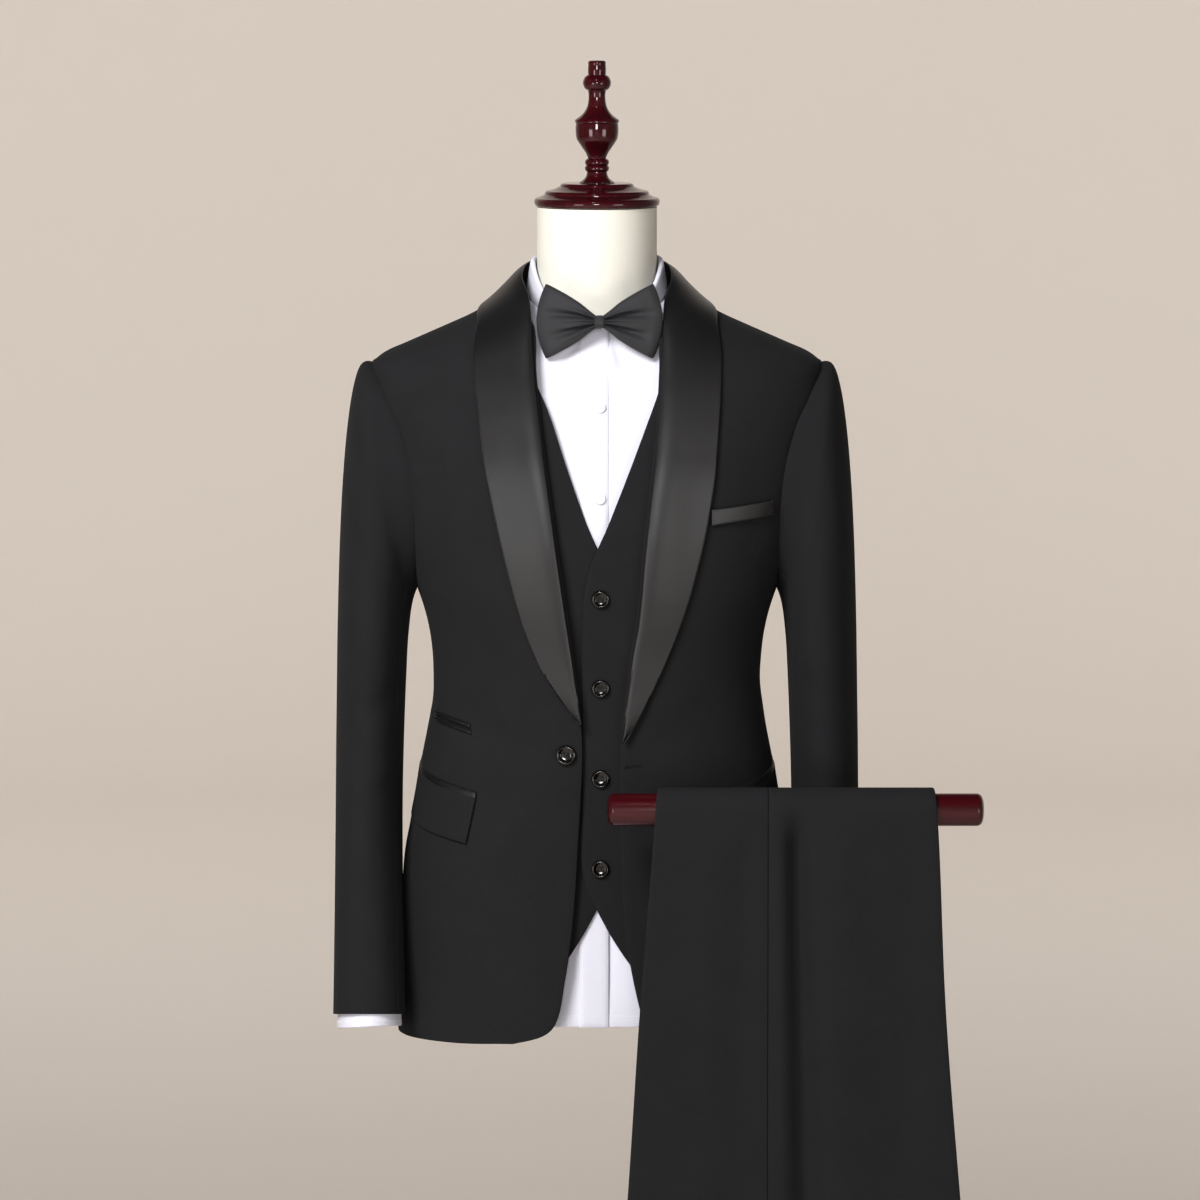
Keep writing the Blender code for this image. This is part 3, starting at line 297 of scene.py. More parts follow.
def border_loops(triangles):
    """The border of a side as loops that keep the side on their left."""
    steps = {(t[i], t[(i + 1) % 3]) for t in triangles for i in range(3)}
    follow = {a: b for a, b in steps if (b, a) not in steps}
    loops = []
    while follow:
        start, loop = next(iter(follow)), []
        while start in follow:
            loop.append(start)
            start = follow.pop(start)
        loops.append(loop)
    return loops


def next_row(row, first, apex, closed):
    """The row of points above a row, from its first point on, or None where the net breaks off."""
    new = [first]
    pairs = list(zip(row, row[1:] + row[:1])) if closed else list(zip(row, row[1:]))
    for a, b in pairs:
        c = apex.get((a, b))
        if c == new[-1]:
            c = apex.get((c, b))
        elif apex.get((a, c)) != new[-1]:
            return None
        if c is None:
            return None
        new.append(c)
    if closed:
        return new[:-1] if new[-1] == first else None
    return new


def net_of(points, triangles):
    """The net of one side: rows of points, and whether the rows close into rings."""
    apex = {(t[i], t[(i + 1) % 3]): t[(i + 2) % 3] for t in triangles for i in range(3)}
    used = {v for t in triangles for v in t}
    loops = border_loops(triangles)
    if len(loops) == 2:
        low = min(loops, key=lambda loop: points[loop][:, 2].mean())
        best = None
        for first in {t[i] for t in triangles if low[0] in t for i in range(3)} - set(low):
            net, start = [low], first
            for _ in range(len(used) // len(low) - 1):
                row = next_row(net[-1], start, apex, True)
                if row is None:
                    break
                step = points[row[0]] - points[net[-1][0]]
                net.append(row)
                near = {t[i] for t in triangles if row[0] in t for i in range(3)} - set(row) - set(net[-2])
                if not near:
                    break
                start = min(near, key=lambda v: np.linalg.norm(points[v] - points[row[0]] - step))
            if len(net) * len(low) != len(used):
                continue
            length = np.linalg.norm(np.diff(points[[r[0] for r in net]], axis=0), axis=1).sum()
            if best is None or length < best[0]:
                best = (length, net)
        return points[np.array(best[1])], True
    loop = loops[0]
    half = len(loop) // 2 + 2
    for columns in range(2, half - 1):
        rows = half - columns
        if rows * columns != len(used):
            continue
        for k in range(len(loop)):
            net = [[loop[(k + j) % len(loop)] for j in range(columns)]]
            for r in range(1, rows):
                row = next_row(net[-1], loop[(k - r) % len(loop)], apex, False)
                if row is None or row[-1] != loop[(k + columns - 1 + r) % len(loop)]:
                    break
                net.append(row)
            if len(net) == rows:
                return points[np.array(net)], False
    raise ValueError("no net found")


def laid_up(net, closed):
    """The net with its rows going up, and the first row at the bottom."""
    if closed:
        return net
    down = net[-1].mean(axis=0) - net[0].mean(axis=0)
    over = net[:, -1].mean(axis=0) - net[:, 0].mean(axis=0)
    if abs(over[2]) / np.linalg.norm(over) > abs(down[2]) / np.linalg.norm(down):
        net = net.transpose(1, 0, 2)
    if net[-1].mean(axis=0)[2] < net[0].mean(axis=0)[2]:
        net = net[::-1]
    if net[:, -1].mean(axis=0)[0] < net[:, 0].mean(axis=0)[0]:
        net = net[:, ::-1]
    return net


def cloth_net(name, half=False):
    """The outside net of a solid piece of cloth, and whether it is a tube.

    A back panel is open at the neck, so only its half to the wearer's left is read, up to the centre.
    """
    points, triangles = welded(name)
    sides = wall_sides(points, triangles)
    if half:
        sides = [[t for t in side if points[list(t), 0].mean() > FORM_X] for side in sides]
    nets = [net_of(points, side) for side in sides]
    net, closed = max(nets, key=lambda found: np.linalg.norm(found[0].reshape(-1, 3).std(axis=0)))
    return laid_up(net, closed), closed


# %% [markdown]
# A net of twenty rows is too coarse for cloth. Between its points a smooth curve is drawn that passes
# through every one of them and doesn't swing past a corner (Akima's), first along the rows and then up
# the columns. That makes the panel fine enough to hold a crease, and keeps it on its solid's form.

# %% A fine surface through a net


def akima(places, values, wanted):
    """Values at the wanted places, on a smooth curve through values that lie along the first axis."""
    slopes = np.diff(values, axis=0) / np.diff(places)[:, None, None]
    if len(places) == 2:
        return values[0] + (wanted - places[0])[:, None, None] * slopes[0]
    before, after = 2 * slopes[:1] - slopes[1:2], 2 * slopes[-1:] - slopes[-2:-1]
    slopes = np.concatenate([2 * before - slopes[:1], before, slopes, after, 2 * after - slopes[-1:]])
    change = np.linalg.norm(np.diff(slopes, axis=0), axis=2, keepdims=True)
    change += 0.5 * np.linalg.norm(slopes[1:] + slopes[:-1], axis=2, keepdims=True)
    total = change[2:] + change[:-2] + 1e-9
    lean = (change[2:] * slopes[1:-2] + change[:-2] * slopes[2:-1]) / total
    i = np.clip(np.searchsorted(places, wanted, side="right") - 1, 0, len(places) - 2)
    width = np.diff(places)[i][:, None, None]
    t = ((wanted - places[i]) / np.diff(places)[i])[:, None, None]
    return (values[i] * (1 + 2 * t) * (1 - t) ** 2 + lean[i] * width * t * (1 - t) ** 2
            + values[i + 1] * t ** 2 * (3 - 2 * t) - lean[i + 1] * width * t ** 2 * (1 - t))


def finer(net, step, closed):
    """The net with points about a step apart. A tube's ends wrap round, so its curve has no seam."""
    if closed:
        net = np.concatenate([net[:, -3:], net, net[:, :4]], axis=1)
    for axis in (1, 0):
        lengths = np.linalg.norm(np.diff(net, axis=axis), axis=2).mean(axis=1 - axis)
        places = np.r_[0, np.cumsum(lengths)]
        parts = [np.linspace(a, b, max(2, int(np.ceil((b - a) / step)) + 1))[:-1]
                 for a, b in zip(places[:-1], places[1:])]
        wraps = closed and axis == 1
        wanted = np.concatenate(parts[3:-3]) if wraps else np.r_[np.concatenate(parts), places[-1]]
        net = np.moveaxis(akima(places, np.moveaxis(net, axis, 0), wanted), 0, axis)
    return net


def normals_of(points, closed):
    """Unit normals of a net, on its outside where rows run to the wearer's left and columns go up."""
    if closed:
        along = np.roll(points, -1, axis=1) - np.roll(points, 1, axis=1)
    else:
        along = np.gradient(points, axis=1)
    normal = np.cross(along, np.gradient(points, axis=0))
    return normal / (np.linalg.norm(normal, axis=2, keepdims=True) + 1e-12)


# %% [markdown]
# A cut edge is never a sharp right angle: the cloth is turned under and pressed, so the edge is a small
# roll. The shell is an outside, an inside one wall further in, and a rim of three rounded steps that
# joins them. Where two panels meet, both rims round away, and the seam shows as a fine dark line.

# %% A shell with rolled edges
RIM_TURNS = np.radians([-55, 0, 55])


def add_mesh(name, points, faces, material, uv=None):
    mesh = bpy.data.meshes.new(name)
    mesh.from_pydata([tuple(p) for p in points], [], faces)
    mesh.polygons.foreach_set("use_smooth", [True] * len(mesh.polygons))
    mesh.materials.append(material)
    if uv is not None:
        layer = mesh.uv_layers.new(name="cloth_mm")
        corners = np.zeros(len(mesh.loops), dtype=np.int32)
        mesh.loops.foreach_get("vertex_index", corners)
        layer.data.foreach_set("uv", (1000 * uv[corners]).ravel())
    thing = bpy.data.objects.new(name, mesh)
    bpy.context.scene.collection.objects.link(thing)
    return thing


def spread_out(outer):
    """How far along the cloth each point of a net lies, across and upward, in metres."""
    across = np.linalg.norm(np.diff(outer, axis=1), axis=2).mean(axis=0)
    upward = np.linalg.norm(np.diff(outer, axis=0), axis=2).mean(axis=1)
    return np.stack(np.meshgrid(np.r_[0, np.cumsum(across)], np.r_[0, np.cumsum(upward)]), axis=-1)


def shell_parts(outer, wall, closed, flip=False):
    """Points, faces and places on the cloth, in metres, of a wall of cloth under a fine net."""
    rows, columns = outer.shape[:2]
    normal = normals_of(outer, closed) * (-1 if flip else 1)
    inner = outer - wall * normal
    if closed:
        border = [(0, j) for j in range(columns)], [(rows - 1, j) for j in range(columns)]
    else:
        border = ([(0, j) for j in range(columns)]
                  + [(i, columns - 1) for i in range(1, rows)]
                  + [(rows - 1, j) for j in range(columns - 2, -1, -1)]
                  + [(i, 0) for i in range(rows - 2, 0, -1)],)
    place = spread_out(outer)
    middle = (outer + inner) / 2
    radius = wall / 2
    points = [outer.reshape(-1, 3).copy(), inner.reshape(-1, 3).copy()]
    places = [place.reshape(-1, 2)] * 2
    rims = []
    count = 2 * rows * columns
    for loop in border:
        rows_at = np.array([i for i, j in loop])
        columns_at = np.array([j for i, j in loop])
        inside_row = np.clip(rows_at, 1, rows - 2)
        inside_column = columns_at if closed else np.clip(columns_at, 1, columns - 2)
        away = middle[rows_at, columns_at] - middle[inside_row, inside_column]
        away /= np.linalg.norm(away, axis=1, keepdims=True) + 1e-12
        up = normal[rows_at, columns_at]
        centre = middle[rows_at, columns_at] - radius * away
        steps = []
        for turn in RIM_TURNS:
            points.append(centre + radius * (math.cos(turn) * away - math.sin(turn) * up))
            places.append(place[rows_at, columns_at])
            steps.append(count + np.arange(len(loop)))
            count += len(loop)
        flat = rows_at * columns + columns_at
        points[0][flat] = centre + radius * up
        points[1][flat] = centre - radius * up
        rims.append([flat] + steps + [flat + rows * columns])
    faces = []
    half = rows * columns
    for i in range(rows - 1):
        for j in range(columns if closed else columns - 1):
            k = (j + 1) % columns
            quad = (i * columns + j, i * columns + k, (i + 1) * columns + k, (i + 1) * columns + j)
            back = tuple(v + half for v in quad[::-1])
            faces += [quad[::-1], back[::-1]] if flip else [quad, back]
    for number, rim in enumerate(rims):
        turn_round = (number == 1) != flip
        for low, high in zip(rim[:-1], rim[1:]):
            for n in range(len(low)):
                m = (n + 1) % len(low)
                quad = (int(low[m]), int(low[n]), int(high[n]), int(high[m]))
                faces.append(quad[::-1] if turn_round else quad)
    return np.concatenate(points), faces, np.concatenate(places)


# %% [markdown]
# Creases are listed, each as one soft trough or ridge along a line: where it starts and ends,
# how far it reaches to each side, and how deep it is. Real cloth never creases evenly, so no two rows
# are alike. A trough has a depth below zero. Distances are in millimetres, with x from the form's axis.

# %% Creases, one row each
CREASES = {
    "jacket_front_right": (
        # start, end, reach, depth
        ((-222.5, 0, 1411), (-240, 0, 1400), 10, 4.6),
        ((-136, -115, 1170), (-135, -105, 1020), 3.5, -0.7),
        ((-50, -110, 1030), (-150, -80, 1075), 14, -1.6),
        ((-55, -115, 985), (-140, -90, 900), 16, 1.8),
        ((-120, -110, 960), (-130, -105, 760), 18, -1.6),
        ((-70, -120, 930), (-85, -120, 760), 15, 1.4),
        ((-160, -60, 1330), (-150, -90, 1200), 16, -1.6),
    ),
    "jacket_front_left": (
        ((222.5, 0, 1411), (240, 0, 1400), 10, 4.6),
        ((128, -115, 1200), (129, -105, 1060), 3.5, -0.7),
        ((45, -115, 1035), (140, -85, 1090), 15, -1.4),
        ((80, -118, 960), (90, -118, 765), 17, -1.6),
        ((130, -105, 930), (145, -100, 755), 17, 1.5),
        ((162, -60, 1340), (150, -90, 1215), 15, -1.4),
    ),
    "jacket_side_left": (
        ((175, -20, 1110), (162, 50, 1060), 12, -1.5),
        ((190, 10, 960), (198, 10, 780), 18, 1.8),
    ),
    "jacket_side_right": (
        ((-175, -25, 1095), (-162, 45, 1050), 13, -1.5),
        ((-190, 5, 950), (-198, 0, 775), 17, 1.8),
    ),
    "jacket_back_left": (
        ((222.5, 0, 1411), (240, 0, 1400), 10, 4.6),
        ((120, 100, 1330), (150, 75, 1230), 16, -2),
        ((30, 98, 1085), (125, 80, 1050), 13, -1.8),
        ((60, 120, 960), (70, 128, 770), 20, 2.2),
        ((25, 120, 1440), (90, 100, 1420), 10, -1.2),
    ),
    "jacket_back_right": (
        ((-222.5, 0, 1411), (-240, 0, 1400), 10, 4.6),
        ((-125, 98, 1320), (-148, 78, 1215), 15, -1.8),
        ((-30, 98, 1070), (-120, 82, 1035), 14, -1.9),
        ((-75, 120, 940), (-80, 126, 765), 18, 2),
        ((-25, 120, 1436), (-85, 100, 1424), 10, -1.1),
    ),
    "sleeve_top_left": (
        ((215, -70, 1330), (230, -75, 1190), 15, -2.2),
        ((195, -60, 1110), (245, -65, 1070), 11, -2),
        ((195, -70, 1030), (250, -75, 1010), 12, 1.8),
        ((235, -100, 950), (230, -118, 790), 16, -2),
        ((250, 30, 1120), (245, 55, 980), 15, -2),
    ),
    "sleeve_top_right": (
        ((-218, -70, 1320), (-228, -75, 1170), 16, -2.2),
        ((-195, -60, 1090), (-240, -68, 1062), 12, -2),
        ((-197, -70, 1018), (-252, -75, 990), 12, 1.8),
        ((-233, -100, 930), (-228, -118, 785), 17, -2),
        ((-250, 30, 1100), (-245, 55, 960), 15, -2),
    ),
    "shirt_front_left": (
        ((10, -75, 1450), (42, -70, 1392), 6, -3.4),
        ((12, -68, 1440), (18, -80, 1385), 5, 2.4),
        ((12, -100, 900), (8.5, -104, 762), 6, -3),
        ((30, -100, 890), (35, -104, 765), 9, 1.8),
    ),
    "shirt_front_right": (
        ((-12, -75, 1450), (-48, -70, 1398), 5.5, -3.2),
        ((-16, -66, 1440), (-26, -80, 1380), 5, 2.2),
        ((-21, -100, 905), (-21.5, -104, 762), 6, -2.4),
        ((-40, -100, 895), (-38, -104, 765), 8, 1.8),
    ),
    "vest_front_left": (
        ((15, -110, 1080), (90, -100, 1105), 11, -1.2),
        ((15, -110, 1000), (70, -105, 985), 11, -1.2),
    ),
    "vest_front_right": (
        ((-15, -110, 1060), (-80, -100, 1090), 11, -1.2),
        ((-15, -110, 975), (-65, -105, 955), 11, -1.2),
    ),
    "pocket_flap_right": (
        ((-180, -20, 1040), (-180, -20, 930), 26, -2.2),
    ),
    "pocket_flap_left": (
        ((180, -20, 1040), (180, -20, 930), 26, -2.2),
    ),
    "pocket_jet_right": (
        ((-182, -10, 1060), (-182, -10, 970), 26, -2.6),
    ),
    "pocket_jet_left": (
        ((182, -10, 1060), (182, -10, 970), 26, -2.6),
    ),
    "shawl_left": (
        ((85, -120, 1330), (70, -125, 1180), 12, -0.9),
    ),
    "shawl_right": (
        ((-86, -118, 1350), (-73, -125, 1200), 12, -0.9),
    ),
}


def creased(name, points, normal):
    """Moves the points of a fine net along its normals by every crease of that piece."""
    moved = np.zeros(points.shape[:2])
    for start, end, reach, depth in CREASES.get(name, ()):
        line = (np.array(end) - np.array(start)) / 1000
        start = np.array(start) / 1000 + (FORM_X, 0, 0)
        share = np.clip(((points - start) @ line) / (line @ line), 0, 1)
        away = 1000 * np.linalg.norm((points - start - share[..., None] * line) * (1, 0.4, 1), axis=2)
        ends = np.sin(math.pi * np.clip(share, 0.03, 0.97)) ** 0.5
        moved += depth / 1000 * ends * np.exp(-(away / reach) ** 2)
    return points + normal * moved[..., None]


# %% [markdown]
# One function now dresses any panel: it finds the net, makes it fine, creases it, walks its border a
# little outward so that it meets its neighbour at the seam, and lays it up as a shell. It also says how
# large the piece of cloth was cut, which is the net's own width and length when it is laid flat.

# %% One piece of cloth
REACH = 0.0009
HEAD_REACH = 0.0026
CROWN_REACH = 0.0045
CROWN_Z = 1.3950
CENTRE_REACH = 0.0002
PRESS_REACH = 0.003
SURFACES = {}


def reached(points, closed, reach, head):
    """The net with its borders moved outward, so that two pieces meet at their seam."""
    points = points.copy()
    sides = [(np.s_[0], np.s_[1], reach), (np.s_[-1], np.s_[-2], head)]
    if not closed:
        sides += [(np.s_[:, 0], np.s_[:, 1], reach), (np.s_[:, -1], np.s_[:, -2], reach)]
    for edge, next_in, how_far in sides:
        away = points[edge] - points[next_in]
        points[edge] += how_far * away / (np.linalg.norm(away, axis=-1, keepdims=True) + 1e-9)
    return points


def pressed(points, normal, depth, reach):
    """The net with its borders ironed down on what it lies on."""
    border = np.concatenate([points[0], points[-1], points[:, 0], points[:, -1]])
    away = np.linalg.norm(points[:, :, None] - border, axis=3).min(axis=2)
    return points - normal * (depth * np.exp(-(away / reach) ** 2))[..., None]


def cut_size(outer):
    """Width, length and area of the flat cloth that a fine net came from, in metres."""
    rows = np.linalg.norm(np.diff(outer, axis=1), axis=2)
    columns = np.linalg.norm(np.diff(outer, axis=0), axis=2)
    width, length = rows.sum(axis=1).max(), columns.sum(axis=0).max()
    corner = outer[:-1, :-1]
    cells = np.linalg.norm(np.cross(outer[1:, :-1] - corner, outer[:-1, 1:] - corner), axis=2)
    return width, length, min(cells.sum(), width * length)


def cloth_shell(name, outer, wall, material, rests_on="form_body", closed=False, flip=False,
                mirrored=False, trim=False):
    """A piece of cloth from a fine net, in place of the solid of that name. A trim is part of the
    cloth that it is sewn to."""
    points, faces, places = shell_parts(outer, wall, closed, flip)
    width, length, area = cut_size(outer)
    if mirrored:
        count = len(points)
        faces = faces + [tuple(v + count for v in face[::-1]) for face in faces]
        points = np.concatenate([points, points * (-1, 1, 1) + (2 * FORM_X, 0, 0)])
        places = np.concatenate([places, places * (-1, 1)])
        width, area = 2 * width, 2 * area
    thing = add_mesh(name + "_cloth", points, faces, material, places)
    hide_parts(name)
    if trim:
        thing.parent = bpy.data.objects[rests_on + "_cloth"]
    else:
        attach(thing, "root")
    print(f"{name}: {1000 * width:.0f} x {1000 * length:.0f} mm, {len(faces)} faces")
    return thing


def panel(name, wall, material, step=0.006, rests_on="form_body", half=False, net=None,
          reach=REACH, press=0.0, trim=False):
    """A panel on its solid's own net."""
    closed = False
    if net is None:
        net, closed = cloth_net(name, half)
    outer = finer(net, step, closed)
    normal = normals_of(outer, closed)
    centre = (FORM_X, 0, 0)
    if "sleeve" in name or "cuff" in name:
        low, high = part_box("shirt_sleeve_" + name.rsplit("_", 1)[1])
        centre = (np.array(low) + np.array(high)) / 2
    flip = (((outer - centre) * (1, 1, 0)) * normal).sum() < 0
    outer = creased(name, outer, -normal if flip else normal)
    if half:
        outer[..., 0] = np.where(np.abs(outer[..., 0] - FORM_X) < CENTRE_REACH, FORM_X, outer[..., 0])
    head = reach
    if "sleeve_top" in name or "sleeve_under" in name:
        head = HEAD_REACH + CROWN_REACH * np.clip((outer[-1, :, 2:] - CROWN_Z) / 0.015, 0, 1)
    outer = reached(outer, closed, reach, head)
    if press:
        outer = pressed(outer, -normal if flip else normal, press, PRESS_REACH)
    SURFACES[name] = (outer, normals_of(outer, closed) * (-1 if flip else 1))
    return cloth_shell(name, outer, wall, material, rests_on, closed, flip, half, trim)


# %% [markdown]
# The jacket is cut in worsted: on each side a front, a side body, a back, a top and an under sleeve, and a
# pocket flap that hangs from a jet of satin. The waistcoat is of the same cloth. The sleeve heads reach a
# little further up than other borders, since a sleeve head is eased into its armhole and lies on it.

# %% Jacket and waistcoat
SIDES = ("left", "right")
JACKET_WALL = 0.0020
VEST_WALL = 0.0018
for side in SIDES:
    for part in ("front", "side", "back"):
        panel(f"jacket_{part}_{side}", JACKET_WALL, WORSTED)
    panel(f"sleeve_top_{side}", JACKET_WALL, WORSTED, rests_on=f"shirt_sleeve_{side}")
    panel(f"sleeve_under_{side}", JACKET_WALL, WORSTED, rests_on=f"shirt_sleeve_{side}")
    panel(f"vest_front_{side}", VEST_WALL, WORSTED)
    panel(f"pocket_flap_{side}", VEST_WALL, WORSTED, 0.004, f"jacket_front_{side}")
    panel(f"pocket_jet_{side}", VEST_WALL, SATIN, 0.003, f"jacket_front_{side}", trim=True)
panel("vest_back", VEST_WALL, WORSTED, 0.010, half=True)

# %% [markdown]
# The shawl collar is one piece of satin on each side, folded along the roll line. It is thickest just
# past the roll, where it turns over the jacket's front, and thins to a pressed edge. The welt of the
# breast pocket is of the same satin.

# %% Shawl collar and welt
for side in SIDES:
    panel(f"shawl_{side}", 0.0016, SATIN, 0.004, rests_on=f"jacket_front_{side}", reach=-0.0012)
panel("breast_welt", VEST_WALL, SATIN, 0.002, "jacket_front_left")

# %% [markdown]
# The shirt shows in the waistcoat's opening, at the cuffs and below the waistcoat. Its two fronts are
# alike, so the right one is drawn on the left one's net, turned over.

# %% Shirt
SHIRT_WALL = 0.0012
for side in SIDES:
    panel(f"shirt_sleeve_{side}", SHIRT_WALL, POPLIN, 0.008)
    panel(f"shirt_cuff_{side}", 0.0020, POPLIN, 0.003, rests_on=f"shirt_sleeve_{side}")
shirt_net, _ = cloth_net("shirt_front_left")
panel("shirt_front_left", SHIRT_WALL, POPLIN, 0.005, net=shirt_net)
turned_over = shirt_net[:, ::-1] * (-1, 1, 1) + (2 * FORM_X, 0, 0)
panel("shirt_front_right", SHIRT_WALL, POPLIN, 0.005, net=turned_over)
panel("shirt_back", SHIRT_WALL, POPLIN, 0.010, half=True)
panel("shirt_placket", 0.0010, POPLIN, 0.003, "shirt_front_right", press=0.0012)

# %% [markdown]
# The shirt's collar is one band that goes up the neck as the stand, turns over at the top and comes down
# as the leaf. It is drawn from a table of heights round the neck, with degrees counted from the front.
# The bow's own band runs inside the fold, where no eye finds it, and it is made the same way.

# %% Shirt collar and the bow's band
COLLAR_RADIUS = 0.0626
COLLAR_OPENING = 3
COLLAR_FOLD = 0.0012
SHIRT_COLLAR = np.array([
    # degrees, foot, top, leaf, leaf_out, band
    (0, 1.449, 1.458, 1.446, 0.0040, 1.4520), (30, 1.459, 1.469, 1.455, 0.0040, 1.4610),
    (58, 1.471, 1.488, 1.468, 0.0060, 1.4780), (90, 1.492, 1.515, 1.491, 0.0065, 1.5040),
    (135, 1.496, 1.520, 1.498, 0.0050, 1.5090), (180, 1.498, 1.526, 1.501, 0.0045, 1.5140),
])
BAND_OUT = 0.0021
BAND_HALF = 0.0040


def read(table, at):
    """The columns of a table after its first one, smoothly, at values of the first."""
    return akima(table[:, 0], table[:, 1:, None], np.asarray(at, float))[..., 0]


def ring_line(angle, radius, height):
    return np.column_stack([FORM_X + radius * np.sin(angle), -radius * np.cos(angle), height])


turn = np.radians(np.linspace(COLLAR_OPENING, 360 - COLLAR_OPENING, 141))
degrees = np.degrees(np.minimum(turn, 2 * math.pi - turn))
foot, top, leaf, leaf_out, band = read(SHIRT_COLLAR, degrees).T
collar_lines = [ring_line(turn, COLLAR_RADIUS, foot + share * (top - COLLAR_FOLD - foot))
                for share in np.linspace(0, 1, 6)]
for bend in np.radians([150, 120, 90, 60, 30]):
    collar_lines.append(ring_line(turn, COLLAR_RADIUS + COLLAR_FOLD * (1 + math.cos(bend)),
                                  top - COLLAR_FOLD + COLLAR_FOLD * math.sin(bend)))
for share in np.linspace(0, 1, 7):
    out = 2 * COLLAR_FOLD + share * (leaf_out - 2 * COLLAR_FOLD)
    down = share * (leaf - top + COLLAR_FOLD)
    collar_lines.append(ring_line(turn, COLLAR_RADIUS + out, top - COLLAR_FOLD + down))
cloth_shell("shirt_collar", np.array(collar_lines), SHIRT_WALL, POPLIN)
band_lines = [ring_line(turn, COLLAR_RADIUS + BAND_OUT, band + rise)
              for rise in np.linspace(-BAND_HALF, BAND_HALF, 4)]
cloth_shell("bow_band", np.array(band_lines), 0.0010, BOW_SATIN, rests_on="shirt_collar", trim=True)

# %% [markdown]
# A ready-tied bow is a loop of stiffened silk on each side of a knot. The knot gathers it, and from there
# two valleys and three ridges run out and die away before the end. Each wing is one strip that goes out
# along the front, round the end and back along the rear, with the gathers cut in as troughs.

# %% Bow tie
BOW_MIDDLE = np.array([FORM_X + 0.0026, -0.0880, 1.4600])
BOW_BACK = 0.12
BOW_OUTLINE = np.array([
    # along, half_height, half_depth, bulge
    (0.0030, 0.0056, 0.0024, 0.0000), (0.0110, 0.0118, 0.0040, 0.0002), (0.0200, 0.0190, 0.0052, 0.0006),
    (0.0350, 0.0282, 0.0056, 0.0026), (0.0470, 0.0346, 0.0050, 0.0066), (0.0515, 0.0368, 0.0026, 0.0092),
])
GATHERS = (
    # at_knot, at_end, reach, depth, share_of_the_wing
    (0.36, 0.22, 0.10, -0.0074, 0.98), (-0.30, -0.44, 0.10, -0.0078, 0.88), (0.14, 0.02, 0.08, 0.0030, 0.85),
    (0.60, 0.44, 0.09, 0.0026, 0.80), (-0.10, -0.26, 0.08, 0.0030, 0.80), (-0.56, -0.66, 0.09, 0.0024, 0.75),
)


def bow_wing(side):
    """The net of one wing: rows from its low edge to its high one, columns out in front and back behind."""
    out_way = np.linspace(BOW_OUTLINE[0, 0], BOW_OUTLINE[-1, 0], 34)
    half_height, half_depth, bulge = read(BOW_OUTLINE, out_way).T
    rows = []
    for share in np.linspace(-1, 1, 41):
        x = out_way + bulge * (1 - share ** 2)
        lift = np.zeros(len(x))
        for at_knot, at_end, reach, depth, runs in GATHERS:
            way = (out_way / out_way[-1]) / runs
            at = at_knot + (at_end - at_knot) * way
            fade = np.clip(1 - way, 0, 1) ** 0.7
            lift += depth * fade * np.exp(-((share - at) / (reach * (0.6 + 0.8 * way))) ** 2)
        edge = np.sqrt(np.clip(1 - share ** 8, 0, 1))
        front = -half_depth * (0.35 + 0.65 * edge) - lift
        rear = half_depth * (0.35 + 0.65 * edge) * 0.8
        tip = np.linspace(-1, 1, 7)[1:-1]
        tip_y = front[-1] + (rear[-1] - front[-1]) * (tip + 1) / 2
        tip_x = x[-1] + 0.0016 * np.sqrt(1 - tip ** 2)
        along = np.concatenate([x, tip_x, x[::-1]])
        deep = np.concatenate([front, tip_y, rear[::-1]])
        high = share * np.concatenate([half_height, np.full(5, half_height[-1]), half_height[::-1]])
        rows.append(np.column_stack([side * along, deep + BOW_BACK * along, high]) + BOW_MIDDLE)
    return np.array(rows)


cloth_shell("bow_left", bow_wing(1), 0.0012, BOW_SATIN, "shirt_collar")
cloth_shell("bow_right", bow_wing(-1), 0.0012, BOW_SATIN, "shirt_collar", flip=True)

# %% [markdown]
# The knot is a strip of the same silk round the middle. It is drawn as a small rounded block whose
# section is a squared oval, with the crosswise tucks that the strip has where it is pulled tight.

# %% Knot
KNOT_HALF = (0.0060, 0.0068, 0.0062)
KNOT_AROUND = 48


def knot():
    rows = []
    for rise in np.linspace(-math.pi / 2, math.pi / 2, 25):
        slim = abs(math.cos(rise)) ** 0.45
        height = math.copysign(abs(math.sin(rise)) ** 0.75, math.sin(rise))
        turns = np.linspace(0, 2 * math.pi, KNOT_AROUND + 1)[:-1]
        tuck = 1 - 0.05 * np.cos(3 * math.pi * height) * (np.cos(turns) > 0)
        x = np.sign(np.sin(turns)) * np.abs(np.sin(turns)) ** 0.6
        y = -np.sign(np.cos(turns)) * np.abs(np.cos(turns)) ** 0.6
        ring = np.column_stack([slim * x, slim * y * tuck, np.full(KNOT_AROUND, height)])
        rows.append(ring * KNOT_HALF + BOW_MIDDLE)
    return np.array(rows)


def closed_skin(name, rings, material, node_name):
    """A closed solid skin on rings of points, with a flat face at either end."""
    rows, count = rings.shape[:2]
    faces = [tuple(range(count - 1, -1, -1)), tuple(range((rows - 1) * count, rows * count))]
    for i in range(rows - 1):
        for j in range(count):
            k = (j + 1) % count
            faces.append((i * count + j, i * count + k, (i + 1) * count + k, (i + 1) * count + j))
    thing = add_mesh(name, rings.reshape(-1, 3), faces, material, spread_out(rings).reshape(-1, 2))
    thing.data.set_sharp_from_angle(angle=math.radians(50))
    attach(thing, "root")
    if node_name:
        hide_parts(node_name)
    return thing


closed_skin("bow_knot_silk", knot(), BOW_SATIN, "bow_knot")
print("bow:", [round(float(v), 3) for v in BOW_MIDDLE])

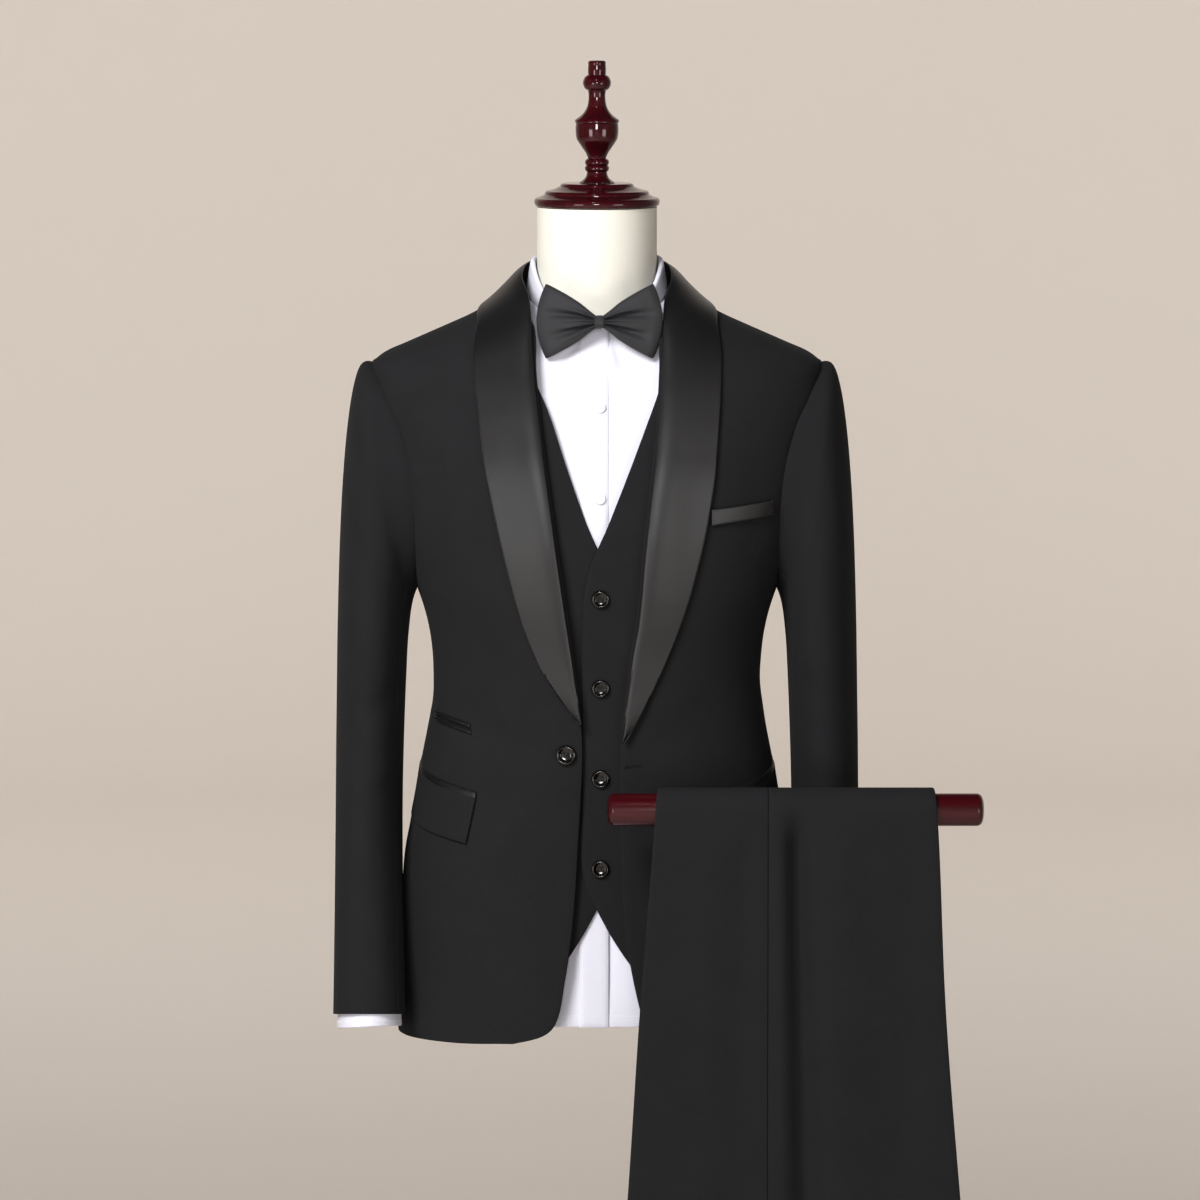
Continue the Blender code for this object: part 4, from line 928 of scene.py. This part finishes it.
# %% [markdown]
# The trousers hang over the rod with the waist down in front, folded on their creases, so each leg is
# four thicknesses deep at the fork. Every point is told by how far along the cloth it lies from the
# waist, which layer it is in, and how far across. A ridge and a valley run down beside the side seam,
# where the back of the leg eases away from the front, and all the layers follow them.

# %% Trousers over the rod
ROD_RADIUS = 0.0160
ROD_Y = -0.1850
ROD_Z = 0.9880
ROD_GAP = 0.0006
LAYER_STEP = 0.0014
TROUSER_WALL = 0.0010
WAISTBAND_WALL = 0.0018
FRONT_HANG = 0.670
REAR_HANG = 0.360
WAISTBAND_HEIGHT = 0.0374
SIDE_SEAM_X = 0.1675
MIDDLE_RADIUS = ROD_RADIUS + ROD_GAP + 2 * LAYER_STEP
TROUSER_EDGES = np.array([
    # along, front_edge_x, back_edge_x
    (0.000, 0.0000, 0.4120), (0.038, -0.0020, 0.4140), (0.110, -0.0040, 0.4200), (0.170, 0.0080, 0.4020),
    (0.220, 0.0240, 0.3660), (0.286, 0.0305, 0.3565), (0.480, 0.0430, 0.3410), (0.670, 0.0577, 0.3321),
    (0.790, 0.0660, 0.3200), (1.100, 0.0850, 0.3020),
])
TROUSER_FORK = np.array([
    # along, share_of_the_inner_half
    (0.000, 0.04), (0.150, 0.04), (0.180, 0.22), (0.215, 0.85), (0.235, 1.00), (1.100, 1.00),
])
FOLDS = (
    # x_at_rod, x_lower, reach_at_rod, reach_lower, out
    (0.1775, 0.1850, 0.0050, 0.0095, 0.0042), (0.1950, 0.2090, 0.0075, 0.0150, -0.0140),
    (0.2380, 0.2500, 0.0200, 0.0280, 0.0030), (0.1080, 0.1000, 0.0200, 0.0300, 0.0020),
    (0.1440, 0.1420, 0.0100, 0.0160, -0.0012), (0.3000, 0.3050, 0.0150, 0.0200, -0.0018),
)


def fold_out(x, along):
    """How far the folds carry the cloth outward, at x from the form's axis and along from the waist."""
    lower = np.clip((FRONT_HANG - along) / 0.45, 0, 1)
    out = np.zeros(np.broadcast(x, along).shape)
    for x_top, x_low, reach_top, reach_low, height in FOLDS:
        at = x_top + (x_low - x_top) * lower
        reach = reach_top + (reach_low - reach_top) * lower
        out = out + height * np.exp(-((x - at) / reach) ** 2)
    start = np.clip((FRONT_HANG + 0.010 - along) / 0.050, 0, 1)
    return out * (3 * start ** 2 - 2 * start ** 3)


def trouser_point(along, level, x):
    """A point of the folded trousers: along from the waist, out from the rod, and across."""
    radius = ROD_RADIUS + ROD_GAP + level
    turned = np.clip((along - FRONT_HANG) / MIDDLE_RADIUS, 0, math.pi)
    hang = np.maximum(FRONT_HANG - along, 0) + np.maximum(along - FRONT_HANG - math.pi * MIDDLE_RADIUS, 0)
    behind = np.clip((along - FRONT_HANG - math.pi * MIDDLE_RADIUS) / 0.2, 0, 1)
    y = ROD_Y - radius * np.cos(turned) - fold_out(x, along) + 0.003 * behind * np.sin(x * 60)
    return np.stack([x + FORM_X, y, ROD_Z + radius * np.sin(turned) - hang], axis=-1)


def leg_panel(edge_column, outer_level, inner_level):
    """Half a leg: from the side seam out to the pressed crease, round it, and back inside."""
    bend = FRONT_HANG + MIDDLE_RADIUS * math.pi
    along = np.concatenate([np.linspace(WAISTBAND_HEIGHT + 0.0006, FRONT_HANG, 82)[:-1],
                            np.linspace(FRONT_HANG, bend, 15)[:-1], np.linspace(bend, bend + REAR_HANG, 46)])
    edge = read(TROUSER_EDGES, along)[:, edge_column]
    inner_share = read(TROUSER_FORK, along)[:, 0].clip(0.04, 1)
    outward = math.copysign(1, edge[0] - SIDE_SEAM_X)
    half = 0.5 * abs(outer_level - inner_level)
    middle = 0.5 * (outer_level + inner_level)
    reach = edge - SIDE_SEAM_X - half * outward
    columns = [trouser_point(along, outer_level, SIDE_SEAM_X + 0.0002 * outward + share * reach)
               for share in np.linspace(0, 1, 30)]
    for bend_turn in np.radians([36, 72, 108, 144]):
        level = middle + (outer_level - middle) * math.cos(bend_turn)
        columns.append(trouser_point(along, level, edge - half * outward * (1 - math.sin(bend_turn))))
    columns += [trouser_point(along, inner_level, edge - half * outward - share * inner_share * reach)
                for share in np.linspace(0, 1, 24)]
    return np.array(columns).transpose(1, 0, 2)


levels = [0.5 * TROUSER_WALL + k * LAYER_STEP for k in range(4)]
for side, outer_level, inner_level in (("left", levels[0], levels[1]), ("right", levels[3], levels[2])):
    for part, column in (("front", 0), ("back", 1)):
        net = leg_panel(column, outer_level, inner_level)
        facing_out = (normals_of(net, False)[:40, :20, 1].mean() < 0) == (outer_level > inner_level)
        name = f"trouser_{part}_{side}"
        normal = normals_of(net, False)
        SURFACES[name] = (net, normal if normal[:40, :20, 1].mean() < 0 else -normal)
        shift = 0.5 * TROUSER_WALL * (1 if facing_out else -1)
        cloth_shell(name, net + shift * normal, TROUSER_WALL, WORSTED, "trouser_rod",
                    flip=not facing_out)
    along = np.linspace(0, WAISTBAND_HEIGHT, 7)[:, None]
    edges = read(TROUSER_EDGES, along[:, 0])
    x = edges[:, :1] + np.linspace(0, 1, 61) * (edges[:, 1:2] - edges[:, :1])
    net = trouser_point(along + 0 * x, outer_level, x)
    front = -0.5 * WAISTBAND_WALL * np.sign(normals_of(net, False)[..., 1:2]) * normals_of(net, False)
    cloth_shell(f"waistband_{side}", net + front, WAISTBAND_WALL, WORSTED, f"trouser_front_{side}",
                flip=bool(normals_of(net, False)[..., 1].mean() > 0))

# %% [markdown]
# Buttons are turned, like tiny bowls: a rounded rim stands up round a dished well. They are drawn by
# turning a profile round the axis of each button's solid. Four holes are sunk in the well, and the thread
# that holds the button crosses between them. The studs of the shirt are plain domes with a rim.

# %% Turned pieces


def smooth_profile(runs, per_run=9):
    """A profile from runs of (radius, height) points, each run going on from the end of the one before.

    It is smooth inside a run, with a corner between runs.
    """
    parts = []
    for run in runs:
        run = np.array(run, float)
        if parts:
            run = np.concatenate([parts[-1][-1:], run])
        places = np.r_[0, np.cumsum(np.linalg.norm(np.diff(run, axis=0), axis=1))]
        wanted = np.linspace(0, places[-1], per_run * (len(run) - 1) + 1)
        line = akima(places, run[:, :, None], wanted)[..., 0] if len(run) > 2 else run
        parts.append(line[1:] if parts else line)
    return np.concatenate(parts)


def turned(name, runs, material, node_name, centre, axis=(0, 0, 1), steps=72, per_run=9):
    """A turned piece: a profile from top to bottom, turned round an axis through a centre."""
    profile = smooth_profile(runs, per_run)
    axis = np.array(axis, float) / np.linalg.norm(axis)
    first = np.cross(axis, (0, 1, 0) if abs(axis[1]) < 0.9 else (1, 0, 0))
    first /= np.linalg.norm(first)
    second = np.cross(axis, first)
    turns = np.linspace(0, 2 * math.pi, steps + 1)[:-1, None]
    ring_way = np.cos(turns) * first + np.sin(turns) * second
    rings = np.array([np.array(centre) + max(r, 1e-5) * ring_way + z * axis for r, z in profile[::-1]])
    return closed_skin(name, rings, material, node_name)


def disc_of(name):
    """Centre, outward axis, radius and thickness of a flat round solid."""
    points, _ = welded(name)
    centre = (points.max(axis=0) + points.min(axis=0)) / 2
    axis = np.linalg.svd(points - points.mean(axis=0))[2][2]
    if axis[1] > 0:
        axis = -axis
    heights = (points - centre) @ axis
    away = np.linalg.norm(points - centre - heights[:, None] * axis, axis=1)
    return centre + heights.min() * axis, axis, away.max(), float(np.ptp(heights))


# %% Buttons and studs
HORN_BUTTON = (
    # radius and height as shares of the button's own
    [(0.00, 0.42), (0.22, 0.44), (0.50, 0.52), (0.66, 0.80), (0.78, 1.00), (0.92, 0.86), (1.00, 0.50)],
    [(0.97, 0.22), (0.84, 0.00)], [(0.00, 0.00)],
)
PEARL_STUD = (
    [(0.00, 1.00), (0.40, 0.94), (0.66, 0.76), (0.74, 0.66)], [(0.84, 0.76), (0.96, 0.60), (1.00, 0.34)],
    [(0.90, 0.00)], [(0.00, 0.00)],
)
HOLE_DEPTH = 0.0008
THREAD_RISE = 0.0005
BUTTON_THREAD_RADIUS = 0.00035
HOLE = ([(0.0, 0.30), (0.55, 0.45), (0.85, 0.95), (1.0, 1.0)], [(1.12, 0.86)], [(1.12, 0.0)])


def scaled(runs, radius=0.001, height=0.001):
    """A profile at its real size: by default from millimetres to metres."""
    return [[(radius * r, height * z) for r, z in run] for run in runs]


def bar(name, points, radius, material, node_name=None, sides=12):
    """A round bar or thread along a line of points, with rounded ends."""
    points = np.array(points, float)
    way = np.gradient(points, axis=0)
    way /= np.linalg.norm(way, axis=1, keepdims=True)
    start = np.cross(way[0], (0, 1, 0) if abs(way[0][1]) < 0.9 else (1, 0, 0))
    rings, across = [], start / np.linalg.norm(start)
    for i, (place, along) in enumerate(zip(points, way)):
        across = across - (across @ along) * along
        across /= np.linalg.norm(across)
        turns = np.linspace(0, 2 * math.pi, sides + 1)[:-1, None]
        ring = np.cos(turns) * across + np.sin(turns) * np.cross(along, across)
        if i == 0:
            rings.append(place - 0.6 * radius * along + 0.5 * radius * ring)
        rings.append(place + radius * ring)
        if i == len(points) - 1:
            rings.append(place + 0.6 * radius * along + 0.5 * radius * ring)
    return closed_skin(name, np.array(rings), material, node_name)


def sewn_button(node_name):
    """A four-hole button of horn, and the two crossing threads that hold it."""
    foot, axis, radius, thickness = disc_of(node_name)
    turned(node_name + "_horn", scaled(HORN_BUTTON, radius, thickness), HORN, node_name, foot, axis)
    right = np.cross(axis, (0, 0, 1))
    right /= np.linalg.norm(right)
    up = np.cross(right, axis)
    spread_by = 0.19 * radius
    well = foot + 0.47 * thickness * axis
    for number, (a, b) in enumerate(((1, 1), (-1, 1), (-1, -1), (1, -1))):
        hole = well + spread_by * (a * right + b * up) - 0.0006 * axis
        profile = scaled(HOLE, 0.085 * radius, HOLE_DEPTH)
        turned(f"{node_name}_hole_{number + 1}", profile, HORN, None, hole, axis, steps=16, per_run=3)
    for number, (a, b) in enumerate(((1, 1), (-1, 1))):
        ends = spread_by * (a * right + b * up)
        arch = [well + share * ends + (THREAD_RISE * (1 - share ** 2) + 0.0001) * axis
                for share in np.linspace(-1, 1, 9)]
        bar(f"{node_name}_thread_{number + 1}", arch, BUTTON_THREAD_RADIUS, BLACK_THREAD, sides=8)


sewn_button("jacket_button")
for number in range(1, 5):
    sewn_button(f"vest_button_{number}")
for number in (1, 2):
    foot, axis, radius, thickness = disc_of(f"shirt_stud_{number}")
    turned(f"shirt_stud_{number}_pearl", scaled(PEARL_STUD, radius, thickness), PEARL, f"shirt_stud_{number}",
           foot, axis)

# %% [markdown]
# The finial, the cap and the stand are turned too. A turner cuts beads, coves and small flat steps, so a
# profile is smooth between two corners and sharp at them. The finial tapers down from its tip to a bead
# and a neck, swells to an urn, and stands on the cap's stepped disc by two small rings.

# %% Finial and cap, in millimetres
FINIAL = (
    [(0, 1713.9), (4, 1713.9), (7.8, 1713.4)], [(8.8, 1712), (8.6, 1710)], [(9, 1705), (8.8, 1699.5)],
    [(12.2, 1697.2), (14, 1691.7), (12.2, 1686.2), (9, 1684.2)],
    [(8.3, 1679), (9.2, 1670), (12.6, 1663), (19, 1657)], [(21.8, 1654.8)], [(22, 1653), (21, 1651.6)],
    [(21.4, 1646), (20.6, 1637), (16, 1629), (11, 1621.5), (9, 1616.5)],
    [(11.6, 1614.5), (12, 1612.2), (10.8, 1609.6)], [(12, 1607.8), (11.8, 1605.2), (10, 1603.4)],
    [(11.2, 1598.5), (15, 1594.5), (17.6, 1593)], [(17.6, 1592.4)],
)
NECK_CAP = (
    [(0, 1592), (33, 1592)], [(35.6, 1591.2), (36.6, 1589)], [(42, 1586.6), (48.4, 1584.8)],
    [(51.2, 1583.6), (52, 1581)], [(56, 1578.8), (59.6, 1577.6)],
    [(62, 1576.2), (62.6, 1573.6), (61.8, 1570.6), (59.6, 1569)], [(0, 1569)],
)
turned("finial_turned", scaled(FINIAL), MAHOGANY, "finial", (FORM_X, 0, 0), steps=80, per_run=5)
turned("neck_cap_turned", scaled(NECK_CAP), MAHOGANY, "neck_cap", (FORM_X, 0, 0), steps=112, per_run=6)

# %% Rod, arm and stand, in millimetres
ROD_ENDS = [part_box("trouser_rod")[k][0] for k in (0, 1)]
ROD_LENGTH = 1000 * (ROD_ENDS[1] - ROD_ENDS[0])
ROD = (
    [(0, ROD_LENGTH), (8, ROD_LENGTH - 0.4), (13.4, ROD_LENGTH - 2.2), (16, ROD_LENGTH - 6.2)], [(16, 6.2)],
    [(13.4, 2.2), (8, 0.4), (0, 0)],
)
BASE = (
    [(0, 24), (24, 24), (30, 23.4)], [(70, 18.6), (130, 15.2), (184, 13)],
    [(196, 11.2), (200, 7), (199, 2), (197, 0)], [(0, 0)],
)
COLUMN_TOP = 1000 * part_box("column")[1][2]
COLUMN = (
    [(0, COLUMN_TOP), (12.5, COLUMN_TOP)], [(14, COLUMN_TOP - 1.5)], [(14, 34)], [(15, 29), (13.8, 24.8)],
    [(0, 24.8)],
)
CLAMP_MIDDLE = sum(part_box("arm_clamp")[k][2] for k in (0, 1)) / 2
CLAMP = (
    [(14.6, 18), (20.5, 18)], [(22.6, 16.8), (23, 14)], [(22.2, 0), (23, -14)],
    [(22.6, -16.8), (20.5, -18)], [(14.6, -18)],
)
turned("trouser_rod_turned", scaled(ROD), MAHOGANY_ACROSS, "trouser_rod", (ROD_ENDS[0], ROD_Y, ROD_Z),
       axis=(1, 0, 0), steps=96)
turned("base_turned", scaled(BASE), MAHOGANY, "base", (0, 0, 0), steps=144)
turned("column_turned", scaled(COLUMN), MAHOGANY, "column", (0, 0, 0))
turned("arm_clamp_turned", scaled(CLAMP), MAHOGANY, "arm_clamp", (0, 0, CLAMP_MIDDLE))

ARM_RADIUS = 0.0070
ARM_LINE = np.array([
    # x, y, z
    (0.000, -0.0236, 0.545), (0.000, -0.0356, 0.545), (0.040, -0.0900, 0.545), (0.079, -0.1431, 0.545),
    (0.095, -0.1640, 0.552), (0.106, -0.1790, 0.574), (0.110, -0.1850, 0.605), (0.110, -0.1850, 0.780),
    (0.110, -0.1850, 0.9708),
])
arm_places = np.r_[0, np.cumsum(np.linalg.norm(np.diff(ARM_LINE, axis=0), axis=1))]
wanted = np.linspace(0, arm_places[-1] - 0.6 * ARM_RADIUS, 90)
arm_line = akima(arm_places, ARM_LINE[:, :, None], wanted)[..., 0]
bar("rod_arm_bent", arm_line, ARM_RADIUS, MAHOGANY, "rod_arm", sides=32)
print("stand:", [round(v, 3) for v in ROD_ENDS], round(COLUMN_TOP / 1000, 3))

# %% [markdown]
# The dress form's body is read from its solid as rings from the bottom up, and a smooth curve through
# them gives the rounded shoulders and the straight neck. Its jersey is drawn tight, so nothing creases.

# %% Dress form
points, triangles = welded("form_body")
rings, _ = net_of(points, [t for t in triangles if np.ptp(points[list(t), 2]) > 1e-6])
if rings[0, :, 2].mean() > rings[-1, :, 2].mean():
    rings = rings[::-1]
NECK_ROWS = 3
neck = [low + share * (high - low) for low, high in zip(rings[-NECK_ROWS:-1], rings[1 - NECK_ROWS:])
        for share in (0.0, 0.05, 0.5, 0.95)]
form_rings = finer(np.concatenate([rings[:-NECK_ROWS], neck, rings[-1:]]), 0.008, True)
if ((form_rings[20] - form_rings[20].mean(axis=0)) * normals_of(form_rings, True)[20]).sum() < 0:
    form_rings = form_rings[:, ::-1]
closed_skin("form_body_jersey", form_rings, JERSEY, "form_body")

# %% [markdown]
# Sewing is what holds cloth together, and at close range it is what tells a garment from a shell. Each
# stitch is a short thread with tapered ends that dips into the cloth. A pick stitch, as on the fronts, is
# set 5 mm in from the edge and shows only every few millimetres. The shirt has a closer machine stitch.

# %% Stitches
THREAD_RADIUS = 0.00022
STITCH_RING = np.radians([0, 60, 120, 180, 240, 300])
STITCH_DIP = -0.00025
STITCH_ROWS = (
    # share_of_its_length, rise, thickness
    (0.0, STITCH_DIP, 0.5), (0.25, 0, 1.0), (0.75, 0, 1.0), (1.0, STITCH_DIP, 0.5),
)


def stitches(name, line, normal, material, pitch, length, lift=0.00010, radius=THREAD_RADIUS):
    """A row of stitches along a line on a surface, all in one piece."""
    places = np.r_[0, np.cumsum(np.linalg.norm(np.diff(line, axis=0), axis=1))]
    points, faces = [], []
    for start in np.arange(pitch / 2, places[-1] - length, pitch):
        low, high, up = (np.array([np.interp(at, places, values[:, k]) for k in range(3)])
                         for at, values in ((start, line), (start + length, line), (start, normal)))
        way = (high - low) / np.linalg.norm(high - low)
        up = up / np.linalg.norm(up)
        across = np.cross(way, up)
        base = len(points)
        for share, rise, thick in STITCH_ROWS:
            centre = low + share * (high - low) + (lift + rise) * up
            points += [centre + radius * thick * (math.cos(a) * across + math.sin(a) * up)
                       for a in STITCH_RING]
        for ring in range(3):
            for k in range(6):
                m = (k + 1) % 6
                low_k, low_m = base + 6 * ring + k, base + 6 * ring + m
                faces.append((low_k, low_m, low_m + 6, low_k + 6))
        faces += [tuple(base + k for k in range(5, -1, -1)), tuple(base + 18 + k for k in range(6))]
    thing = add_mesh(name, points, faces, material)
    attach(thing, "root")


def edge_line(piece, edge, inset):
    """A line on a piece, so many points in from one of its borders."""
    outer, normal = SURFACES[piece]
    pick = {"left": np.s_[:, inset], "right": np.s_[:, -1 - inset], "low": np.s_[inset],
            "high": np.s_[-1 - inset]}[edge]
    return outer[pick], normal[pick]


PICKED = (BLACK_THREAD, 0.0050, 0.0014)
MACHINED = (WHITE_THREAD, 0.0030, 0.0021)
SEWING = (
    # piece, edge, points_in, (thread, pitch, length)
    ("jacket_front_left", "left", 1, PICKED), ("jacket_front_right", "right", 1, PICKED),
    ("vest_front_left", "left", 1, PICKED), ("vest_front_right", "right", 1, PICKED),
    ("pocket_flap_left", "low", 1, PICKED), ("pocket_flap_right", "low", 1, PICKED),
    ("shirt_placket", "left", 1, MACHINED), ("shirt_placket", "right", 1, MACHINED),
    ("shirt_cuff_left", "low", 2, MACHINED), ("shirt_cuff_right", "low", 2, MACHINED),
    ("shirt_front_left", "low", 2, MACHINED), ("shirt_front_right", "low", 2, MACHINED),
    ("shirt_back", "low", 2, MACHINED),
)
for piece, edge, inset, (thread, pitch, length) in SEWING:
    line, normal = edge_line(piece, edge, inset)
    stitches(f"{piece}_{edge}_stitches", line, normal, thread, pitch, length)

# %% Ticket pocket and buttonholes


def onto(piece, spots):
    """Points of a piece's surface and its normals, below (x from the axis, z) spots seen from in front."""
    outer, normal = SURFACES[piece]
    rows, columns = outer.shape[:2]
    faces = [(i * columns + j, i * columns + j + 1, (i + 1) * columns + j + 1, (i + 1) * columns + j)
             for i in range(rows - 1) for j in range(columns - 1)]
    tree = BVHTree.FromPolygons([tuple(p) for p in outer.reshape(-1, 3)], faces)
    way = np.sign(normal[..., 1].mean())
    found = [tree.ray_cast((x + FORM_X, -1, z), (0, 1, 0)) for x, z in spots]
    outward = [np.array(hit[1]) * (1 if hit[1][1] * way > 0 else -1) for hit in found]
    return np.array([hit[0] for hit in found]), np.array(outward)


JET_OUT = 0.0030
for name, corners in (
        # low outer, low inner, top inner, top outer as x from the axis and z
        ("ticket_jet_upper", ((-0.1600, 1.0650), (-0.1250, 1.0562), (-0.1250, 1.0612), (-0.1600, 1.0700))),
        ("ticket_jet_lower", ((-0.1595, 1.0588), (-0.1240, 1.0500), (-0.1245, 1.0550), (-0.1598, 1.0638)))):
    low = [np.add(corners[0], np.subtract(corners[1], corners[0]) * s) for s in np.linspace(0, 1, 15)]
    high = [np.add(corners[3], np.subtract(corners[2], corners[3]) * s) for s in np.linspace(0, 1, 15)]
    rows = []
    for t in np.linspace(0, 1, 7):
        place, normal = onto("jacket_front_right", [a + t * (b - a) for a, b in zip(low, high)])
        rows.append(place + (JET_OUT - 0.0012 * (2 * t - 1) ** 2) * normal)
    cloth_shell(name, np.array(rows), 0.0016, SATIN, "jacket_front_right", trim=True)


def buttonhole(name, piece, start, end):
    """A worked buttonhole: close stitches along both sides of a slit, and a bar at its end."""
    start, end = np.array(start), np.array(end)
    way = (end - start) / np.linalg.norm(end - start)
    across = np.array([-way[1], way[0]])
    for number, offset in enumerate((-0.0011, -0.0004, 0.0004, 0.0011)):
        spots = [start + offset * across + share * (end - start) for share in np.linspace(0, 1, 15)]
        place, normal = onto(piece, spots)
        stitches(f"{name}_side_{number + 1}", place, normal, BLACK_THREAD, 0.0011, 0.0010, 0.0003)
    spots = [end + s * across for s in np.linspace(-0.0018, 0.0018, 5)]
    place, normal = onto(piece, spots)
    stitches(f"{name}_bar", place, normal, BLACK_THREAD, 0.0008, 0.0026, 0.0004, 0.0003)


buttonhole("jacket_buttonhole", "jacket_front_left", (0.0260, 1.0205), (0.0440, 1.0225))
print("sewing done")

# %% [markdown]
# The set stands in a wide round studio whose pale paper wall curves up from the floor. The wall is one-way:
# its outside is clear, so that it hides nothing from a camera that stands beyond it. One large lamp high
# on the left models the cloth through a scrim that leaves no glare in satin or lacquer. Two low softboxes
# and two small lamps in front give those their highlights, and two more lamps light the paper behind.

# %% Floor, wall and lights
PAPER = "d8d0c8"
ROOM_RADIUS = 9.6
ROOM_HEIGHT = 8.0
FOOT_RADIUS = 2.0
LAMPS = (
    # name, place, size_m, watts, aim, seen_in_gloss
    ("key", (-1.5, -2.3, 3.2), 1.1, 110, (-0.05, 0, 1.15), False),
    ("spark_high", (-0.5, -3.6, 4.6), 0.4, 10, (-0.05, 0, 1.3), True),
    ("spark_front", (-0.3, -9.0, 2.4), 1.3, 150, (-0.05, 0, 1.1), True),
    ("softbox_left", (-3.0, -4.4, 0.8), 1.6, 42, (0, 0, 1.1), True),
    ("softbox_right", (3.4, -4.2, 0.7), 1.8, 43, (0, 0, 1.1), True),
    ("wall_left", (-3.6, 4.2, 5.6), 2.5, 168, (-1.4, 9.6, 2.4), False),
    ("wall_right", (3.6, 4.2, 5.6), 2.5, 158, (1.4, 9.6, 2.4), False),
)


def studio():
    material, tree, shader = new_material("studio_paper")
    shader.inputs["Base Color"].default_value = linear(PAPER)
    shader.inputs["Roughness"].default_value = 0.95
    shader.inputs["Specular IOR Level"].default_value = 0.1
    back = node(tree, "ShaderNodeNewGeometry").outputs["Backfacing"]
    clear = node(tree, "ShaderNodeBsdfTransparent").outputs[0]
    one_way = node(tree, "ShaderNodeMixShader", None, {"Fac": back, 1: shader.outputs[0], 2: clear})
    tree.links.new(one_way.outputs[0], tree.nodes["Material Output"].inputs["Surface"])
    turn = np.linspace(0, math.pi / 2, 13)
    foot = zip(ROOM_RADIUS - FOOT_RADIUS * (1 - np.sin(turn)), FOOT_RADIUS * (1 - np.cos(turn)))
    profile = [(0.001, 0), *foot, (ROOM_RADIUS, ROOM_HEIGHT)]
    around = np.linspace(0, 2 * math.pi, 97)[:-1]
    points = [(r * math.cos(a), r * math.sin(a), z) for r, z in profile for a in around]
    count = len(around)
    faces = [(low + count + j, low + count + (j + 1) % count, low + (j + 1) % count, low + j)
             for low in range(0, count * (len(profile) - 1), count) for j in range(count)]
    add_mesh("studio_room", points, faces, material)
    for name, place, size, power, aim, seen_in_gloss in LAMPS:
        lamp = bpy.data.objects.new(name, bpy.data.lights.new(name, "AREA"))
        lamp.data.size = size
        lamp.data.energy = power
        lamp.location = place
        lamp.visible_glossy = seen_in_gloss
        lamp.visible_camera = False
        way = np.array(aim) - np.array(place)
        lamp.rotation_euler = (math.atan2(math.hypot(way[0], way[1]), -way[2]), 0,
                               math.atan2(way[1], way[0]) - math.pi / 2)
        bpy.context.scene.collection.objects.link(lamp)
    world = bpy.data.worlds.new("studio_air")
    bpy.context.scene.world = world
    world.use_nodes = True
    world.node_tree.nodes["Background"].inputs["Color"].default_value = linear("eceef2")
    world.node_tree.nodes["Background"].inputs["Strength"].default_value = 0.05
    bpy.context.scene.view_settings.view_transform = "Standard"
    bpy.context.scene.view_settings.look = "Medium High Contrast"


studio()
